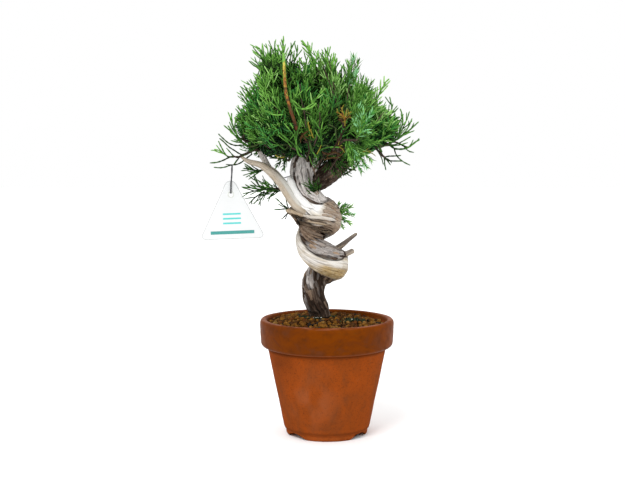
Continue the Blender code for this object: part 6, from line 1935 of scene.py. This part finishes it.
def build_foliage():
    rng = np.random.default_rng(2024)
    names = list(CROWN) + ["single", "low"]
    groups = {n: i for i, n in enumerate(names)}
    shoots, needles = Shoots(), Needles()
    feet, ways, sizes, tags = grow_crown(rng, groups)
    group, level, layer, bluish = tags[:, 0].astype(int), tags[:, 1], tags[:, 2], tags[:, 3] > 0
    ends = feet + ways * sizes[:, None]
    where = picture(ends)
    right = (where[:, 0] > 350) & (where[:, 0] < 384) & (where[:, 1] > 98) & (where[:, 1] < 172) & (ends[:, 1] < 10)
    young = rng.random(len(feet)) < np.where(right, 0.22, 0.03)
    blue = (rng.random(len(feet)) < np.where(bluish, 0.85, 0.08)) & ~young
    old = ~young
    flat = unit(np.cross(ways, rng.normal(0, 1, ways.shape) + (0, 0.8, 0)))

    def tone_of(lv):
        return np.clip(np.round(lv), 0, 5).astype(int)

    spray(shoots, rng, group[old], feet[old], ways[old], sizes[old], level[old], flat[old],
          lambda lv: np.where(blue[old], np.clip(np.round(lv) - 1, 0, 2) + BLUE, tone_of(lv)).astype(int),
          lambda tips: inside(picture(tips), OUTLINE))
    for i in np.where(young)[0]:
        for extra in range(3):
            w = unit(ways[i] + (0.5 if extra else 0.0) * rng.normal(0, 1, 3))
            ln = sizes[i] * (0.9 if extra == 0 else 0.5)
            t = np.linspace(0, 1, 7)[:, None]
            line = feet[i] + ways[i] * sizes[i] * (0.35 if extra else 0) + ln * (w * t + np.array((0, 0, 0.12)) * t * t)
            needle_shoot(needles, shoots, rng, group[i], line, BLUE + 1 if extra else 3, BLUE + 2 if extra != 1 else 4, 2.2, 6.2)
    more_feet, more_ways = [], []
    trace(shoots, rng, groups["single"], EDGE, tone_of, more_feet, more_ways, 0.12)
    for depth, drift, size, gap, dark, light, *points in YOUNG:
        line = drawn(points[::-1], depth, drift)
        needle_shoot(needles, shoots, rng, groups["single"], line, dark, light, gap, size, 1.45)
        more_feet.append(line[0])
        more_ways.append(unit(line[1] - line[0]))
    for depth, drift, r, tone, *points in FADED:
        line = evened(drawn(points[::-1], depth, drift), 1.8)
        shoots.lines(groups["single"], line[None], r * 0.85, tone, tone, rng)
        for k in range(1, len(line) - 1):
            d = unit(line[k] - line[k - 1])
            w = unit(d + rng.normal(0, 0.55, 3))
            shoots.add(groups["single"], line[k], w, rng.uniform(2.0, 4.4), 0.1 * d, r * 0.70, tone,
                       GOLDEN if tone == YELLOW and rng.random() < 0.4 else tone, rng, 1.8, 0.5)
    net = grow_twigs(np.concatenate([feet, more_feet]), np.concatenate([ways, more_ways]), rng)
    build_twigs(net)
    trace(shoots, rng, groups["low"], LOW, tone_of, [], [])
    for depth, drift, size, gap, dark, light, *points in YOUNG_LOW:
        needle_shoot(needles, shoots, rng, groups["low"], drawn(points[::-1], depth, drift), dark, light, gap, size, 1.4)
    mats = leaf_materials()
    replaced = {n: [n] for n in CROWN}
    replaced["single"] = []
    replaced["low"] = ["spray_left_tip", "spray_left_small", "spray_left_low", "spray_right_low", "spray_right_hanging",
                       "spray_trunk_back", "spray_knot"]
    for name, pile in zip(names, shoots.piles(len(names))):
        piece("shoots_" + name.replace("mass_", ""), pile, mats, replaced[name])
    piece("needle_tufts", needles.pile(), mats, smooth=False)
    build_leader(mats)
    print("SPRAYS", len(feet), "cord length", round(shoots.length))


# ================================================================ the tag and its tie
def tag_point(x, depth, y):
    t = math.radians(TAG_TILT)
    return (TAG_PLACE[0] + x * math.cos(t) - y * math.sin(t), TAG_PLACE[1] + depth,
            TAG_PLACE[2] + x * math.sin(t) + y * math.cos(t))


def tag_outline(inset=0.0, per=12):
    corners = ((-TAG_WIDTH / 2, 0.0, TAG_CORNER), (TAG_WIDTH / 2, 0.0, TAG_CORNER), (0.0, TAG_HEIGHT + 3.6, TAG_TOP_CORNER))
    line = []
    for i, (x, y, r) in enumerate(corners):
        here = np.array((x, y))
        before = unit(np.array(corners[i - 1][:2]) - here)
        after = unit(np.array(corners[(i + 1) % 3][:2]) - here)
        half = math.acos(float(before.dot(after))) / 2
        mid = here + unit(before + after) * r / math.sin(half)
        start = here + before * r / math.tan(half) - mid
        a0 = math.atan2(start[1], start[0])
        for k in range(per):
            a = a0 + (math.pi - 2 * half) * k / (per - 1)
            line.append(mid + (r - inset) * np.array((math.cos(a), math.sin(a))))
    return np.array(line)


def build_tag():
    pile = Pile()
    n = len(tag_outline())
    hole = np.array((0.0, TAG_HOLE_HEIGHT))

    def toward(line, radius):
        way = unit(line - hole)
        return hole + way * radius

    half = TAG_THICK / 2
    loops = []
    outer = tag_outline()
    for inset, depth in ((0.0, 0.0), (0.03, -half * 0.6), (0.18, -half * 0.92), (0.55, -half)):
        loops.append([tag_point(p[0], depth, p[1]) for p in tag_outline(inset)])
    inner = toward(outer, TAG_HOLE_RADIUS)
    for k in (0.25, 0.5, 0.75):
        mix = tag_outline(0.55) * (1 - k) + inner * k
        loops.append([tag_point(p[0], -half, p[1]) for p in mix])
    loops.append([tag_point(p[0], -half, p[1]) for p in toward(outer, TAG_HOLE_RADIUS + 0.15)])
    loops.append([tag_point(p[0], -half * 0.7, p[1]) for p in inner])
    loops.append([tag_point(p[0], half * 0.7, p[1]) for p in inner])
    loops.append([tag_point(p[0], half, p[1]) for p in toward(outer, TAG_HOLE_RADIUS + 0.15)])
    for k in (0.75, 0.5, 0.25):
        mix = tag_outline(0.55) * (1 - k) + inner * k
        loops.append([tag_point(p[0], half, p[1]) for p in mix])
    for inset, depth in ((0.55, half), (0.18, half * 0.92), (0.03, half * 0.6)):
        loops.append([tag_point(p[0], depth, p[1]) for p in tag_outline(inset)])
    pts = np.array(loops).reshape(-1, 3)
    faces = grid_faces(len(loops), n, True, True)[:, ::-1]
    band = faces.min(1) // n
    pile.add(pts, faces, slot=((band < 3) | (band >= len(loops) - 3)).astype(int))
    s = Shader("tag_white", rough=0.34, spec=0.30)
    where = s.place()
    a = s.noise(where, 60.0, 3.0)
    b = s.noise(where, 2400.0, 2.0)
    s.colour(s.ramp(a, (0.3, (0.655, 0.668, 0.67)), (0.7, (0.69, 0.70, 0.70))))
    s.rough(s.ramp(a, (0.3, 0.30), (0.7, 0.40)))
    s.bump(b, 0.08, 0.0001)
    # the rounded edge is a darker grey than the faces: painted shade round the plate's rim
    rim = Shader("tag_edge_painted_shade", rough=0.5, spec=0.2)
    rim.colour(rim.ramp(rim.noise(rim.place(), 600.0), (0.3, (0.40, 0.41, 0.41)), (0.7, (0.48, 0.49, 0.49))))
    piece("tag_plate", pile, [s.mat, rim.mat], ["hang_tag"], sharp=35)

    # plain stripes printed on both faces
    stripes = Pile()
    slope = (TAG_WIDTH / 2) / (TAG_HEIGHT + 3.6)

    def half_width(y):
        return TAG_WIDTH / 2 - y * slope

    for low, high, margin, ink in ((4.2, 6.9, 7.4, 1), (12.4, 13.8, 9.6, 0), (16.2, 17.6, 9.6, 0), (20.0, 21.4, 9.6, 0)):
        for side in (-1, 1):
            m = 14
            xs = np.linspace(-1, 1, m)
            rows_ = []
            for y in (low, high):
                w = (half_width(low if ink else 20.7) - margin)
                rows_.append([(x * w, y) for x in xs])
            front = [tag_point(x, side * (half + 0.05), y) for r in rows_ for x, y in r]
            back = [tag_point(x, side * (half - 0.05), y) for r in rows_ for x, y in r]
            f = grid_faces(2, m, False)
            q = np.concatenate([f if side < 0 else f[:, ::-1], (f[:, ::-1] if side < 0 else f) + 2 * m])
            rim = list(range(m)) + [m + k for k in range(m - 1, -1, -1)]
            wall = [(rim[k], rim[(k + 1) % (2 * m)], rim[(k + 1) % (2 * m)] + 2 * m, rim[k] + 2 * m) for k in range(2 * m)]
            wall = np.array(wall)
            if side < 0:
                wall = wall[:, ::-1]
            stripes.add(front + back, np.concatenate([q, wall]), slot=ink)
    s = Shader("tag_print", rough=0.4, spec=0.4)
    s.colour(s.ramp(s.noise(s.place(), 900.0), (0.3, (0.070, 0.50, 0.48)), (0.7, (0.095, 0.58, 0.55))))
    deep = Shader("tag_print_deep", rough=0.4, spec=0.4)
    deep.colour(deep.ramp(deep.noise(deep.place(), 900.0), (0.3, (0.040, 0.24, 0.22)), (0.7, (0.060, 0.30, 0.275))))
    piece("tag_stripes", stripes, [s.mat, deep.mat], smooth=False)

    # a clear ring set in the hole
    ring = Pile()
    m, k = 48, 12
    a = (np.arange(m) * TAU / m)[:, None]
    b = (np.arange(k) * TAU / k)[None, :]
    r = 2.35 + 0.75 * np.cos(b)
    x, y, dep = r * np.cos(a), TAG_HOLE_HEIGHT + r * np.sin(a), 0.62 * np.sin(b) + 0 * a
    pts = [tag_point(x[i, j], dep[i, j], y[i, j]) for i in range(m) for j in range(k)]
    ring.add(pts, grid_faces(m, k, True, True))
    s = Shader("tag_eyelet", rough=0.28, spec=0.5)
    s.colour(s.ramp(s.noise(s.place(), 700.0), (0.3, (0.52, 0.54, 0.50)), (0.7, (0.66, 0.68, 0.63))))
    piece("tag_eyelet", ring, [s.mat])


def build_tie():
    x, _, low = tag_point(0.0, 0.0, TAG_HOLE_HEIGHT + TAG_HOLE_RADIUS - 0.45 - 0.35)
    y, wide, path = TAG_PLACE[1], 1.5, []
    rng = np.random.default_rng(3)
    for k in range(9):
        a = math.pi + math.pi * k / 8
        path.append((x, y + wide * math.cos(a), low + wide * math.sin(a) + wide))
    for k in range(1, 9):                                  # two legs that lean together higher up
        t = k / 9
        path.append((x + 1.1 * t + 0.15 * math.sin(t * 9), y + wide * (1 - 0.62 * t), low + 1.5 + (TIE_TOP - low - 3) * t))
    for k in range(9):
        a = math.pi * k / 8
        path.append((x + 1.1, y + 0.6 * math.cos(a), TIE_TOP + 0.6 * math.sin(a) - 1.5))
    for k in range(8, 0, -1):
        t = k / 9
        path.append((x + 1.1 * t + 0.15 * math.sin(t * 9 + 2), y - wide * (1 - 0.62 * t), low + 1.5 + (TIE_TOP - low - 3) * t))
    path = np.array(path)
    n = len(path)
    tang = unit(np.roll(path, -1, 0) - np.roll(path, 1, 0))
    one = unit(np.array((1.0, 0, 0)) - tang * tang[:, :1])
    two = np.cross(tang, one)
    sides = 10
    a = (np.arange(sides) * TAU / sides)[None, :]
    r = 0.58 * (1 + 0.04 * rng.normal(size=n))[:, None]
    xyz = path[:, None] + (np.cos(a) * r)[..., None] * one[:, None] + (np.sin(a) * r)[..., None] * two[:, None]
    pile = Pile()
    pile.add(xyz.reshape(-1, 3), grid_faces(n, sides, True, True))
    knot = Pile()
    s = Shader("tie_dark", rough=0.45, spec=0.4)
    s.colour(s.ramp(s.noise(s.place(), 500.0), (0.3, (0.020, 0.021, 0.024)), (0.7, (0.060, 0.062, 0.068))))
    piece("tag_tie_wire", pile, [s.mat], ["tag_tie"])


# ================================================================ the stage
def build_stage():
    me = bpy.data.meshes.new("floor")
    w = 6.0
    me.from_pydata([(-w, -w, 0), (w, -w, 0), (w, w, 0), (-w, w, 0)], [], [(0, 1, 2, 3)])
    floor = bpy.data.objects.new("floor", me)
    bpy.context.scene.collection.objects.link(floor)
    s = Shader("floor_pale", rough=0.9, spec=0.1)
    s.colour(s.ramp(s.noise(s.place(), 3.0), (0.2, (0.90, 0.90, 0.90)), (0.8, (0.92, 0.92, 0.92))))
    me.materials.append(s.mat)

    world = bpy.data.worlds.new("studio")
    world.use_nodes = True
    bg = world.node_tree.nodes["Background"]
    bg.inputs["Color"].default_value = (1, 1, 1, 1)
    bg.inputs["Strength"].default_value = 1.0
    bpy.context.scene.world = world

    def sun(name, way, energy, spread):
        data = bpy.data.lights.new(name, "SUN")
        data.energy = energy
        data.angle = math.radians(spread)
        ob = bpy.data.objects.new(name, data)
        ob.rotation_mode = "QUATERNION"
        ob.rotation_quaternion = Vector(way).to_track_quat("-Z", "Y")
        bpy.context.scene.collection.objects.link(ob)

    sun("key", (0.30, 0.62, -0.80), 1.5, 24.0)
    sun("fill", (-0.62, 0.40, -0.62), 0.5, 50.0)
    sun("rear", (0.25, -0.70, -0.75), 0.5, 50.0)


def build_camera():
    data = bpy.data.cameras.new("view")
    data.sensor_width = 36.0
    data.lens = CAM_FOCAL * 36.0 / FRAME_W
    data.clip_start, data.clip_end = 0.01, 30.0
    cam = bpy.data.objects.new("view", data)
    cam.location = ((CAM_ACROSS + AXIS[0]) * MM, (CAM_BACK + AXIS[1]) * MM, CAM_UP * MM)
    cam.rotation_euler = (math.radians(90 - CAM_PITCH), 0.0, 0.0)
    bpy.context.scene.collection.objects.link(cam)
    bpy.context.scene.camera = cam


build_camera()
build_stage()
build_pot()
build_soil()
trunk_mat = build_trunk()
build_limbs(trunk_mat)
build_foliage()
build_tag()
build_tie()

bpy.context.scene.view_settings.view_transform = "Standard"
bpy.context.scene.view_settings.look = "None"
bpy.context.view_layer.update()
print("PIECES", sum(t for _, t in MADE), sorted(MADE, key=lambda m: -m[1])[:14])
